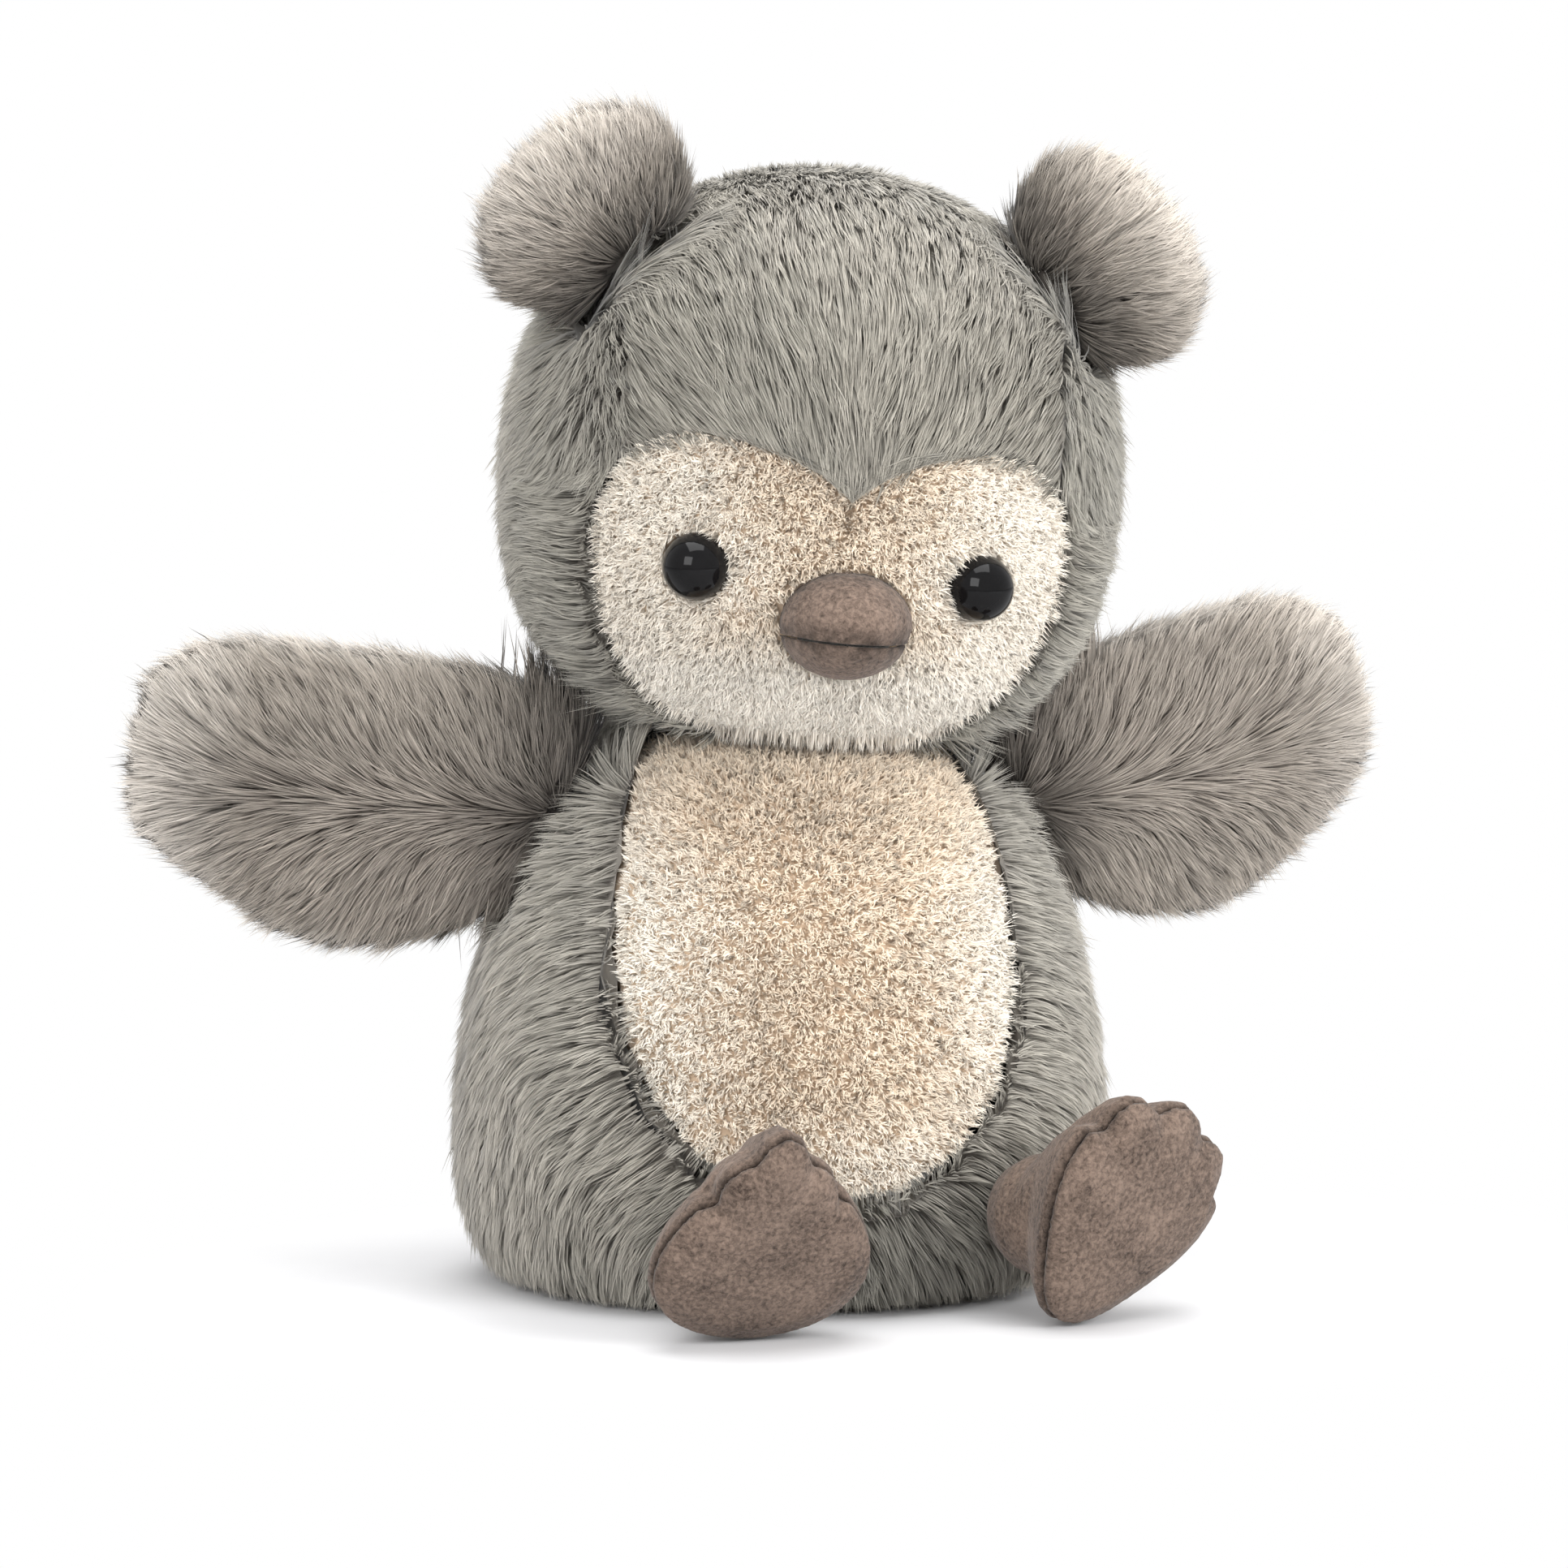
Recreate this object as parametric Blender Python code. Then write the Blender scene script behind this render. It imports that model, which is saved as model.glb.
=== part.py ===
"""Plush owl, sitting on a flat base with its wings spread and its feet up on their heels.

The owl faces -Y and +Z is up. The origin is on the floor, under the middle of the base.
Left and right are the owl's own: its left is +X. Lengths are in metres.
Each sewn panel is a solid as thick as its cloth with the pile on it, and stuffing fills the
room inside. Neighbouring pieces keep the gap of a seam.
"""
import math

import bmesh
import bpy
from mathutils import Matrix, Vector

MM = 0.001

# Cloth, seams and cuts
SEAM_GAP = 0.3 * MM
PLUSH_THICKNESS = 6.5 * MM
SHORT_PILE_DROP = 1.5 * MM
SUEDE_THICKNESS = 1.4 * MM
CUT_OVERRUN = 30.0 * MM

# Rings and segments of the round forms
BODY_RINGS, BODY_SEGMENTS = 20, 30
HEAD_RINGS, HEAD_SEGMENTS = 18, 30
CORE_RINGS, CORE_SEGMENTS = 12, 22
WING_RINGS, WING_SEGMENTS = 15, 18
EAR_RINGS, EAR_SEGMENTS = 12, 16
FOOT_RINGS, FOOT_SEGMENTS = 12, 40
BALL_RINGS, BALL_SEGMENTS = 10, 16
SOCKET_RINGS, SOCKET_SEGMENTS = 12, 20

# Body: from the top of the neck down to the base, radius over half the width,
# height over the body's height, depth over width
BODY_WIDTH = 108.0 * MM
BODY_HEIGHT = 97.1 * MM
BASE_CUT = 0.5 * MM
BODY_PROFILE_SHARES = (
    (0.000, 1.000, 1.00),
    (0.200, 0.985, 1.00),
    (0.410, 0.955, 1.00),
    (0.570, 0.905, 1.00),
    (0.685, 0.840, 0.99),
    (0.775, 0.760, 0.97),
    (0.865, 0.655, 0.95),
    (0.930, 0.540, 0.93),
    (0.980, 0.415, 0.93),
    (1.000, 0.290, 0.93),
    (0.995, 0.180, 0.93),
    (0.960, 0.095, 0.93),
    (0.895, 0.035, 0.93),
    (0.790, 0.004, 0.93),
    (0.500, 0.000, 0.93),
    (0.000, 0.000, 0.93),
)
BASE_SEAM_RADIUS = 38.0 * MM

# Tummy panel: an egg, half width over its width, height from its bottom over its height
TUMMY_WIDTH = 66.0 * MM
TUMMY_BOTTOM = 19.6 * MM
TUMMY_HEIGHT = 80.0 * MM
TUMMY_BACK = 8.0 * MM
TUMMY_OUTLINE_SHARES = (
    (0.000, 0.000),
    (0.170, 0.020),
    (0.315, 0.085),
    (0.415, 0.185),
    (0.475, 0.310),
    (0.500, 0.450),
    (0.490, 0.590),
    (0.455, 0.730),
    (0.400, 0.860),
    (0.320, 0.960),
    (0.180, 1.000),
)

# Pellet pouch on the base inside the body
POUCH_WIDTH = 66.0 * MM
POUCH_HEIGHT = 26.0 * MM

# Head: a round form, fuller below its middle, tilted over to the owl's left. Its middle
# stands over the top of the body
HEAD_WIDTH = 102.0 * MM
HEAD_DEPTH = 95.0 * MM
HEAD_RISE = 47.5 * MM
HEAD_DROP = 48.5 * MM
HEAD_FULLNESS_SHARE = 2.65
HEAD_STAND = 39.0 * MM
HEAD_CENTRE = Vector((4.8 * MM, -3.0 * MM, BODY_HEIGHT + HEAD_STAND))
HEAD_TILT = math.radians(5.0)
HEAD_TURN = math.radians(-2.5)
HEAD_SWEEP = 2.2 * MM

# Face panel: a heart seen from the front, x and z over half the head's width
FACE_OUTLINE_SHARES = (
    (0.000, -0.088),
    (0.055, -0.033),
    (0.140, 0.010),
    (0.250, 0.055),
    (0.370, 0.083),
    (0.480, 0.092),
    (0.585, 0.075),
    (0.670, 0.020),
    (0.735, -0.060),
    (0.770, -0.170),
    (0.775, -0.300),
    (0.755, -0.430),
    (0.700, -0.580),
    (0.600, -0.730),
    (0.460, -0.840),
    (0.250, -0.900),
    (0.000, -0.925),
)

# Gusset over the crown: half width over half the head's width, from the brow to the nape
GUSSET_FROM = math.radians(-12.0)
GUSSET_TO = math.radians(232.0)
GUSSET_WIDTH_SHARES = ((0.71,), (0.72,), (0.74,), (0.72,), (0.66,), (0.56,), (0.44,), (0.30,))

# Eyes: glossy domes on shanks, each held inside the face by a ring
EYE_DIAMETER = 10.8 * MM
EYE_BULGE = 4.6 * MM
EYE_SINK = 1.2 * MM
EYE_SPREAD = 22.9 * MM
EYE_DROP = 16.8 * MM
SHANK_DIAMETER = 3.6 * MM
SHANK_REACH = 10.5 * MM
WASHER_DIAMETER = 10.0 * MM
WASHER_THICKNESS = 1.5 * MM
WASHER_DEPTH = 6.6 * MM

# Beak: two panels over a filled core, sewn on the middle of the face
BEAK_WIDTH = 22.4 * MM
BEAK_HEIGHT = 18.6 * MM
BEAK_REACH = 12.0 * MM
BEAK_ASIDE = 1.3 * MM
BEAK_DROP = 23.8 * MM
BEAK_SINK = 3.0 * MM
BEAK_SEAM_DROP = 2.6 * MM

# Ear tufts: two panels back to back, sewn into the gusset's seams
EAR_LENGTH = 20.5 * MM
EAR_WIDTH = 36.0 * MM
EAR_THICKNESS = 18.0 * MM
EAR_ROOT_RADIUS = 4.5 * MM
EAR_ROOT_WIDTH = 27.0 * MM
EAR_RISES = {"left": math.radians(40.0), "right": math.radians(41.5)}
EAR_FORWARD = 13.0 * MM
EAR_STAND = 0.6 * MM
EAR_SHARES = (
    (0.00, 0.400, 0.24),
    (0.16, 0.465, 0.31),
    (0.38, 0.500, 0.45),
    (0.62, 0.465, 0.48),
    (0.84, 0.350, 0.37),
    (0.96, 0.190, 0.20),
    (1.00, 0.000, 0.00),
)

# Wings: two panels over a thin filling, sewn on the sides of the body.
# Length, then the edge above and below the middle line over the height, then the thickness
WING_LENGTH = 69.0 * MM
WING_HEIGHT = 47.5 * MM
WING_THICKNESS = 22.0 * MM
WING_ROOT_RADIUS = 5.0 * MM
WING_ROOT_HEIGHT = 32.0 * MM
WING_ROOT_Z = BODY_HEIGHT - 18.5 * MM
WING_FORWARD = math.radians(8.0)
WING_SWEEP = math.radians(24.0)
WING_SLANT = math.radians(20.0)
WING_RISES = (math.radians(9.5), math.radians(5.0))
WING_STAND = 3.0 * MM
WING_CORE_SHARES = (0.40, 0.28, 0.19)
WING_CORE_PLACE_SHARE = 0.50
WING_SHARES = (
    (0.00, 0.350, 0.350, 0.23),
    (0.12, 0.425, 0.450, 0.34),
    (0.27, 0.455, 0.510, 0.44),
    (0.44, 0.465, 0.530, 0.50),
    (0.62, 0.465, 0.460, 0.50),
    (0.79, 0.455, 0.350, 0.46),
    (0.92, 0.385, 0.255, 0.36),
    (0.985, 0.220, 0.150, 0.19),
    (1.00, 0.000, 0.000, 0.00),
)

# Feet: a three-toed sole, an upper over a filled core, and an ankle with a round end.
# Each row goes from the sole back: depth, share of the sole's outline, share of the ankle's
# circle, and how far the middle has moved from the sole's to the ankle's
FOOT_LENGTH = 41.0 * MM
FOOT_WIDTH = 34.0 * MM
FOOT_DEPTH = 27.0 * MM
ANKLE_RADIUS = 10.0 * MM
ANKLE_DROP = 1.5 * MM
ANKLE_STAND = 8.0 * MM
TOE_DEPTH_SHARE = 0.13
TOE_PITCH = math.radians(36.0)
SOLE_THICKNESS = 2.0 * MM
HEEL_FULLNESS_SHARES = {"left": -0.30, "right": 0.42}
FOOT_WHERE = {"left": math.radians(34.5), "right": math.radians(-19.8)}
FOOT_SPLAYS = {"left": math.radians(35.0), "right": math.radians(8.0)}
FOOT_ROLLS = {"left": math.radians(27.0), "right": math.radians(1.0)}
FOOT_LEANS = {"left": math.radians(19.0), "right": math.radians(30.0)}
FOOT_REST = 0.3 * MM
FOOT_CORE_SHARES = (0.36, 0.20, 0.36)
FOOT_CORE_PLACE_SHARE = 0.24
FOOT_SHARES = (
    (-0.083, 0.00, 0.00, 0.00),
    (-0.075, 0.42, 0.00, 0.00),
    (-0.046, 0.76, 0.00, 0.00),
    (0.010, 0.95, 0.00, 0.00),
    (0.090, 1.00, 0.00, 0.00),
    (0.210, 0.95, 0.00, 0.03),
    (0.330, 0.78, 0.05, 0.20),
    (0.460, 0.46, 0.42, 0.62),
    (0.545, 0.12, 0.86, 0.94),
)
ANKLE_TURNS = (0.0, 22.0, 45.0, 68.0, 90.0)


def curve_at(rows, share):
    """Read a smooth curve through the rows at a share of the way along them."""
    place = min(max(share, 0.0), 1.0) * (len(rows) - 1)
    first = min(int(place), len(rows) - 2)
    rest = place - first
    before = rows[max(first - 1, 0)]
    after = rows[min(first + 2, len(rows) - 1)]
    values = []
    for a, b, c, d in zip(before, rows[first], rows[first + 1], after):
        bend = (2 * a - 5 * b + 4 * c - d) * rest**2 + (3 * b - a - 3 * c + d) * rest**3
        values.append(0.5 * (2 * b + (c - a) * rest + bend))
    return values


def new_collection(name):
    """Make a collection in the scene."""
    collection = bpy.data.collections.new(name)
    bpy.context.scene.collection.children.link(collection)
    return collection


def place_object(name, mesh, collection, frame, joint=None):
    """Put a mesh in the scene at a world frame, carried by a joint's empty."""
    thing = bpy.data.objects.new(name, mesh)
    collection.objects.link(thing)
    if joint:
        thing.parent = joint
        thing.matrix_parent_inverse = joint.matrix_world.inverted()
    thing.matrix_basis = frame
    return thing


def new_joint(name, frame, parent=None):
    """Make the empty that a moving piece turns on."""
    joint = place_object(name, None, owl, frame, parent)
    bpy.context.view_layer.update()
    return joint


def finish(thing, colour, roughness):
    """Give a piece a material of its own."""
    material = bpy.data.materials.new(thing.name)
    material.use_nodes = True
    shader = material.node_tree.nodes["Principled BSDF"]
    shader.inputs["Base Color"].default_value = (*colour, 1)
    shader.inputs["Roughness"].default_value = roughness
    thing.data.materials.append(material)


def to_mesh(form, name):
    """Turn a closed working form into a smooth mesh with its faces outward."""
    bmesh.ops.recalc_face_normals(form, faces=form.faces)
    mesh = bpy.data.meshes.new(name)
    form.to_mesh(mesh)
    form.free()
    mesh.shade_smooth()
    return mesh


def soft_mesh(name, place, rings, segments, grow=0.0):
    """Shape a sphere: place(share, angle) gives each point, from the first pole to the last."""
    form = bmesh.new()
    bmesh.ops.create_uvsphere(form, u_segments=segments, v_segments=rings, radius=1)
    for vert in form.verts:
        share = math.acos(max(-1.0, min(1.0, vert.co.z))) / math.pi
        vert.co = place(share, math.atan2(vert.co.y, vert.co.x))
    bmesh.ops.recalc_face_normals(form, faces=form.faces)
    form.normal_update()
    shifts = [(vert, vert.normal * grow) for vert in form.verts]
    for vert, shift in shifts:
        vert.co += shift
    return to_mesh(form, name)


def ball_mesh(name, radii, rings=BALL_RINGS, segments=BALL_SEGMENTS):
    """Make an ellipsoid."""
    form = bmesh.new()
    bmesh.ops.create_uvsphere(form, u_segments=segments, v_segments=rings, radius=1)
    bmesh.ops.scale(form, vec=radii, verts=form.verts)
    return to_mesh(form, name)


def rod_mesh(name, radius, start, end, segments=BALL_SEGMENTS):
    """Make a cylinder along Z from one height to another."""
    form = bmesh.new()
    bmesh.ops.create_cone(
        form, cap_ends=True, segments=segments, radius1=radius, radius2=radius, depth=end - start
    )
    bmesh.ops.translate(form, vec=(0, 0, (start + end) / 2), verts=form.verts)
    return to_mesh(form, name)


def box_mesh(name, low, high):
    """Make a box between two corners."""
    form = bmesh.new()
    bmesh.ops.create_cube(form, size=1)
    low = Vector(low)
    high = Vector(high)
    bmesh.ops.scale(form, vec=high - low, verts=form.verts)
    bmesh.ops.translate(form, vec=(low + high) / 2, verts=form.verts)
    return to_mesh(form, name)


def wedge_mesh(name, loop, far):
    """Make a cone from the middle of a form through a loop of points, closed over a far point."""
    form = bmesh.new()
    bmesh.ops.create_cone(
        form, cap_ends=True, cap_tris=True, segments=len(loop), radius1=1, radius2=0, depth=2
    )
    ring = [vert for vert in form.verts if vert.co.xy.length > 0.5]
    ring.sort(key=lambda vert: math.atan2(vert.co.y, vert.co.x))
    for vert in form.verts:
        if vert not in ring:
            vert.co = far if vert.co.z < 0 else (0, 0, 0)
    for vert, point in zip(ring, loop):
        vert.co = point
    bmesh.ops.remove_doubles(form, verts=form.verts, dist=SEAM_GAP / 10)
    return to_mesh(form, name)


def prism_mesh(name, outline, front, back):
    """Extrude an outline in X and Z along Y."""
    form = bmesh.new()
    corners = [form.verts.new((x, front, z)) for x, z in outline]
    bmesh.ops.contextual_create(form, geom=corners)
    pulled = bmesh.ops.extrude_face_region(form, geom=form.faces[:])
    moved = [item for item in pulled["geom"] if isinstance(item, bmesh.types.BMVert)]
    bmesh.ops.translate(form, vec=(0, back - front, 0), verts=moved)
    return to_mesh(form, name)


def cutter(name, mesh, frame=Matrix(), joint=None):
    """Make a guide solid that cuts others and isn't part of the owl."""
    tool = place_object(name, mesh, cutters, frame, joint)
    tool.hide_render = True
    tool.display_type = "WIRE"
    return tool


def combine(thing, operation, others):
    """Cut a piece by others, or keep what it shares with them."""
    for other in others:
        change = thing.modifiers.new(f"{operation.title()} {other.name}", "BOOLEAN")
        change.operation = operation
        change.solver = "EXACT"
        change.object = other


def mirrored(points):
    """Close a half outline, given from top to bottom or back, with its mirror image."""
    middle = [point for point in points if point[0] == 0]
    side = [point for point in points if point[0] > 0]
    if points[0][0] == 0 and points[-1][0] == 0:
        return [points[0], *side, points[-1], *[(-x, z) for x, z in reversed(side)]]
    return [*middle, *side, *[(-x, z) for x, z in reversed(side)]]


def grown(outline, distance):
    """Move an outline outward by a distance, along the normals at its points."""
    area = 0.0
    for (x0, z0), (x1, z1) in zip(outline, outline[1:] + outline[:1]):
        area += x0 * z1 - x1 * z0
    turn = math.copysign(1.0, area)
    moved = []
    for i, point in enumerate(outline):
        along = Vector(outline[(i + 1) % len(outline)]) - Vector(outline[i - 1])
        outward = Vector((along.y, -along.x)).normalized() * turn
        moved.append(tuple(Vector(point) + outward * distance))
    return moved


def body_z(height):
    """Height above the floor of a share of the body's height."""
    return height * (BODY_HEIGHT + BASE_CUT) - BASE_CUT


def body_place(share, angle):
    """Point of the body's outer form, which reaches below the floor by the base's cut."""
    radius, height, depth = curve_at(BODY_PROFILE_SHARES, share)
    reach = max(radius, 0.0) * BODY_WIDTH / 2
    return (reach * math.cos(angle), reach * depth * math.sin(angle), body_z(height))


def body_radius_at(height):
    """Half width of the body at a height above its widest part."""
    low, high = 0.0, 0.6
    for _ in range(30):
        share = (low + high) / 2
        if body_z(curve_at(BODY_PROFILE_SHARES, share)[1]) > height:
            low = share
        else:
            high = share
    return curve_at(BODY_PROFILE_SHARES, low)[0] * BODY_WIDTH / 2


def head_place(share, angle):
    """Point of the head's outer form in the head's frame."""
    polar = math.pi * share
    upper = polar < math.pi / 2
    power = 1.0 if upper else 2 / HEAD_FULLNESS_SHARE
    reach = math.sin(polar) ** power if 0 < share < 1 else 0.0
    rise = HEAD_RISE * math.cos(polar) if upper else -HEAD_DROP * abs(math.cos(polar)) ** power
    return (
        reach * HEAD_WIDTH / 2 * math.cos(angle),
        reach * HEAD_DEPTH / 2 * math.sin(angle),
        rise,
    )


def head_front(x, z, inset=0.0):
    """Point on the front of the head's form, set in by a distance, at an x and z."""
    power = 2.0 if z > 0 else HEAD_FULLNESS_SHARE
    height = (HEAD_RISE if z > 0 else HEAD_DROP) - inset
    reach = max(1 - abs(z / height) ** power, 0.0) ** (1 / power)
    side = max(reach * (HEAD_WIDTH / 2 - inset), abs(x) + SEAM_GAP)
    y = -reach * (HEAD_DEPTH / 2 - inset) * math.sqrt(1 - (x / side) ** 2)
    return Vector((x, y, z))


def head_normal(x, z):
    """Outward direction of the head's form at a point of its front."""
    step = SEAM_GAP
    across = head_front(x + step, z) - head_front(x - step, z)
    along = head_front(x, z + step) - head_front(x, z - step)
    return across.cross(along).normalized()


def frame_along(origin, up, side):
    """A frame at a point with Z along one direction and X as near as can be to another."""
    up = Vector(up).normalized()
    across = (Vector(side) - Vector(side).project(up)).normalized()
    turn = Matrix((across, up.cross(across), up)).transposed()
    return Matrix.Translation(origin) @ turn.to_4x4()


def rounded_root(radius, width, table):
    """Put a rounded end of a given radius in front of a form's own rows."""
    rows = []
    for turn in (0.0, math.radians(35), math.radians(65)):
        spread = math.sin(turn) ** 0.5 * width / 2
        rows.append((-radius * math.cos(turn), spread, spread, radius * math.sin(turn)))
    return rows + table


def ear_place(share, angle):
    """Point of an ear tuft: X is out from the head, Z along its seam."""
    table = [
        (along * EAR_LENGTH, half * EAR_WIDTH, half * EAR_WIDTH, thick * EAR_THICKNESS)
        for along, half, thick in EAR_SHARES
    ]
    rows = rounded_root(EAR_ROOT_RADIUS, EAR_ROOT_WIDTH, table)
    along, upper, _, thick = curve_at(rows, share)
    return (along, max(thick, 0.0) * math.sin(angle), max(upper, 0.0) * math.cos(angle))


def wing_place(share, angle):
    """Point of a wing: X is out from the body, Z up. Its root slants along the body."""
    table = [
        (along * WING_LENGTH, upper * WING_HEIGHT, lower * WING_HEIGHT, thick * WING_THICKNESS)
        for along, upper, lower, thick in WING_SHARES
    ]
    rows = rounded_root(WING_ROOT_RADIUS, WING_ROOT_HEIGHT, table)
    along, upper, lower, thick = curve_at(rows, share)
    height = max(upper if math.cos(angle) > 0 else lower, 0.0) * math.cos(angle)
    slant = height * math.tan(WING_SLANT) * max(1 - along / WING_LENGTH, 0.0)
    return (along - slant, max(thick, 0.0) * math.sin(angle), height)


def sole_radius(angle, fullness):
    """Radius of the sole's outline: an egg with three toes at the top, parted by notches."""
    half_width = FOOT_WIDTH / 2 * (1 - fullness * math.sin(angle))
    egg = 1 / math.hypot(math.cos(angle) / half_width, math.sin(angle) * 2 / FOOT_LENGTH)
    aside = math.remainder(angle - math.pi / 2, 2 * math.pi)
    if abs(aside) > 1.5 * TOE_PITCH:
        return egg
    lobe = abs(math.cos(math.pi * aside / TOE_PITCH))
    return egg * (1 - TOE_DEPTH_SHARE * (1 - lobe))


def foot_place(share, angle, side):
    """Point of a foot: the sole faces -Y, its three toes lean forward, the ankle is behind."""
    rows = list(FOOT_SHARES)
    for turn in ANKLE_TURNS:
        inward = (1 - math.sin(math.radians(turn))) * ANKLE_RADIUS / FOOT_DEPTH
        rows.append((1 - inward, 0.0, math.cos(math.radians(turn)), 1.0))
    depth, pad, ankle, move = curve_at(rows, share)
    radius = max(pad * sole_radius(angle, HEEL_FULLNESS_SHARES[side]) + ankle * ANKLE_RADIUS, 0.0)
    if share in (0.0, 1.0):
        radius = 0.0
    point = Vector((radius * math.cos(angle), depth * FOOT_DEPTH, radius * math.sin(angle)))
    point.rotate(Matrix.Rotation(FOOT_LEANS[side] * (1 - move), 3, "X"))
    return point + Vector((0, 0, -ANKLE_DROP * move))


def half_box(name, axis, side, frame=Matrix(), joint=None, from_middle=SEAM_GAP / 2):
    """A box over one side of a frame's plane, that starts half a seam gap from it."""
    reach = BODY_WIDTH + HEAD_WIDTH
    low = [-reach, -reach, -reach]
    high = [reach, reach, reach]
    if side > 0:
        low[axis] = from_middle
    else:
        high[axis] = -from_middle
    return cutter(name, box_mesh(name, low, high), frame, joint)


# Empty the scene and open the collections
for thing in list(bpy.data.objects):
    bpy.data.objects.remove(thing, do_unlink=True)
owl = new_collection("plush_owl")
cutters = new_collection("cutters")

GREY = (0.33, 0.30, 0.26)
CREAM = (0.72, 0.62, 0.52)
BROWN = (0.20, 0.145, 0.12)
FILLING = (0.85, 0.85, 0.83)
BLACK = (0.01, 0.01, 0.01)
PELLETS = (0.55, 0.53, 0.50)

# Frames and joints
head_frame = Matrix.Translation(HEAD_CENTRE) @ Matrix.Rotation(HEAD_TURN, 4, "Z")
head_frame = head_frame @ Matrix.Rotation(HEAD_TILT, 4, "Y")
neck_joint = new_joint("neck_joint", Matrix.Translation((0, 0, BODY_HEIGHT)))

# Guides from the body: the grown form cuts the head, the core is the room for the stuffing
body_guide = cutter("body_guide", soft_mesh("body_guide", body_place, BODY_RINGS, BODY_SEGMENTS, SEAM_GAP))
body_core = cutter("body_core", soft_mesh("body_core", body_place, CORE_RINGS, CORE_SEGMENTS, -PLUSH_THICKNESS))
floor_box = cutter(
    "floor_box",
    box_mesh("floor_box", (-BODY_WIDTH, -BODY_WIDTH, -CUT_OVERRUN), (BODY_WIDTH, BODY_WIDTH, 0)),
)
base_rod = cutter(
    "base_rod", rod_mesh("base_rod", BASE_SEAM_RADIUS, -CUT_OVERRUN, 2 * PLUSH_THICKNESS, BODY_SEGMENTS)
)
base_hole = cutter(
    "base_hole",
    rod_mesh("base_hole", BASE_SEAM_RADIUS + SEAM_GAP, -CUT_OVERRUN, 2 * PLUSH_THICKNESS, BODY_SEGMENTS),
)
tummy_outline = mirrored(
    [(x * TUMMY_WIDTH, TUMMY_BOTTOM + z * TUMMY_HEIGHT) for x, z in TUMMY_OUTLINE_SHARES]
)
tummy_plug = cutter(
    "tummy_plug", prism_mesh("tummy_plug", tummy_outline, -BODY_WIDTH, -TUMMY_BACK)
)
tummy_hole = cutter(
    "tummy_hole",
    prism_mesh("tummy_hole", grown(tummy_outline, SEAM_GAP), -BODY_WIDTH, -TUMMY_BACK + SEAM_GAP),
)
left_side = half_box("left_side", 0, 1)
right_side = half_box("right_side", 0, -1)

# Grooves and sockets that the wings and ankles press into the body's pile
wing_frames = {}
wing_joints = {}
wing_grooves = {}
for side, sign, rise in (("left", 1, WING_RISES[0]), ("right", -1, WING_RISES[1])):
    radius = body_radius_at(WING_ROOT_Z) + WING_STAND
    root = Vector(
        (sign * radius * math.cos(WING_FORWARD), -radius * math.sin(WING_FORWARD), WING_ROOT_Z)
    )
    outward = Vector((sign * math.cos(WING_SWEEP), math.sin(WING_SWEEP), math.tan(rise)))
    frame = frame_along(root, Vector((0, 0, 1)) - Vector((0, 0, 1)).project(outward), outward)
    wing_frames[side] = frame
    seam = frame.to_3x3() @ Vector((-math.tan(WING_SLANT), 0, 1))
    seam_frame = frame_along(root, seam, outward)
    wing_joints[side] = new_joint(f"wing_joint_{side}", seam_frame)
    reach = WING_ROOT_HEIGHT / 2 / math.cos(WING_SLANT) + SEAM_GAP
    groove = rod_mesh(f"wing_groove_{side}", WING_ROOT_RADIUS + SEAM_GAP, -reach, reach)
    wing_grooves[side] = cutter(f"wing_groove_{side}", groove, seam_frame)

foot_frames = {}
foot_joints = {}
foot_sockets = {}
ANKLE_MIDDLE = Vector((0, FOOT_DEPTH - ANKLE_RADIUS, -ANKLE_DROP))
foot_meshes = {}
for side in ("left", "right"):
    where, splay, roll = FOOT_WHERE[side], FOOT_SPLAYS[side], FOOT_ROLLS[side]
    foot_mesh = soft_mesh(
        "foot",
        lambda share, angle: foot_place(share, angle, side),
        FOOT_RINGS,
        FOOT_SEGMENTS,
    )
    foot_meshes[side] = foot_mesh
    turn = Matrix.Rotation(splay, 4, "Z") @ Matrix.Rotation(roll, 4, "Y")
    lowest = min((turn @ vert.co).z for vert in foot_mesh.vertices)
    ankle_z = FOOT_REST - lowest + (turn @ ANKLE_MIDDLE).z
    low_shares = [row for row in BODY_PROFILE_SHARES if body_z(row[1]) >= ankle_z]
    radius = low_shares[-1][0] * BODY_WIDTH / 2
    depth = low_shares[-1][2]
    root = Vector((radius * math.sin(where), -radius * depth * math.cos(where), ankle_z))
    middle = root + Vector((math.sin(splay), -math.cos(splay), 0)) * ANKLE_STAND
    foot_frames[side] = Matrix.Translation(middle - (turn @ ANKLE_MIDDLE)) @ turn
    foot_joints[side] = new_joint(f"foot_joint_{side}", Matrix.Translation(middle))
    socket = ball_mesh(
        f"foot_socket_{side}",
        Vector((1, 1, 1)) * (ANKLE_RADIUS + 2 * SEAM_GAP),
        SOCKET_RINGS,
        SOCKET_SEGMENTS,
    )
    foot_sockets[side] = cutter(f"foot_socket_{side}", socket, Matrix.Translation(middle))
presses = [*wing_grooves.values(), *foot_sockets.values()]

# Body: left and right panels, tummy panel and base panel around the stuffing and its pouch
for side, half in (("left", left_side), ("right", right_side)):
    panel = place_object(
        f"body_panel_{side}", soft_mesh("body", body_place, BODY_RINGS, BODY_SEGMENTS), owl, Matrix()
    )
    combine(panel, "DIFFERENCE", [body_core, tummy_hole, base_hole, floor_box, *presses])
    combine(panel, "INTERSECT", [half])
    finish(panel, GREY, 0.95)

tummy = place_object(
    "tummy_panel", soft_mesh("tummy", body_place, BODY_RINGS, BODY_SEGMENTS, -SHORT_PILE_DROP), owl, Matrix()
)
combine(tummy, "DIFFERENCE", [body_core, *presses])
combine(tummy, "INTERSECT", [tummy_plug])
finish(tummy, CREAM, 0.95)

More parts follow.
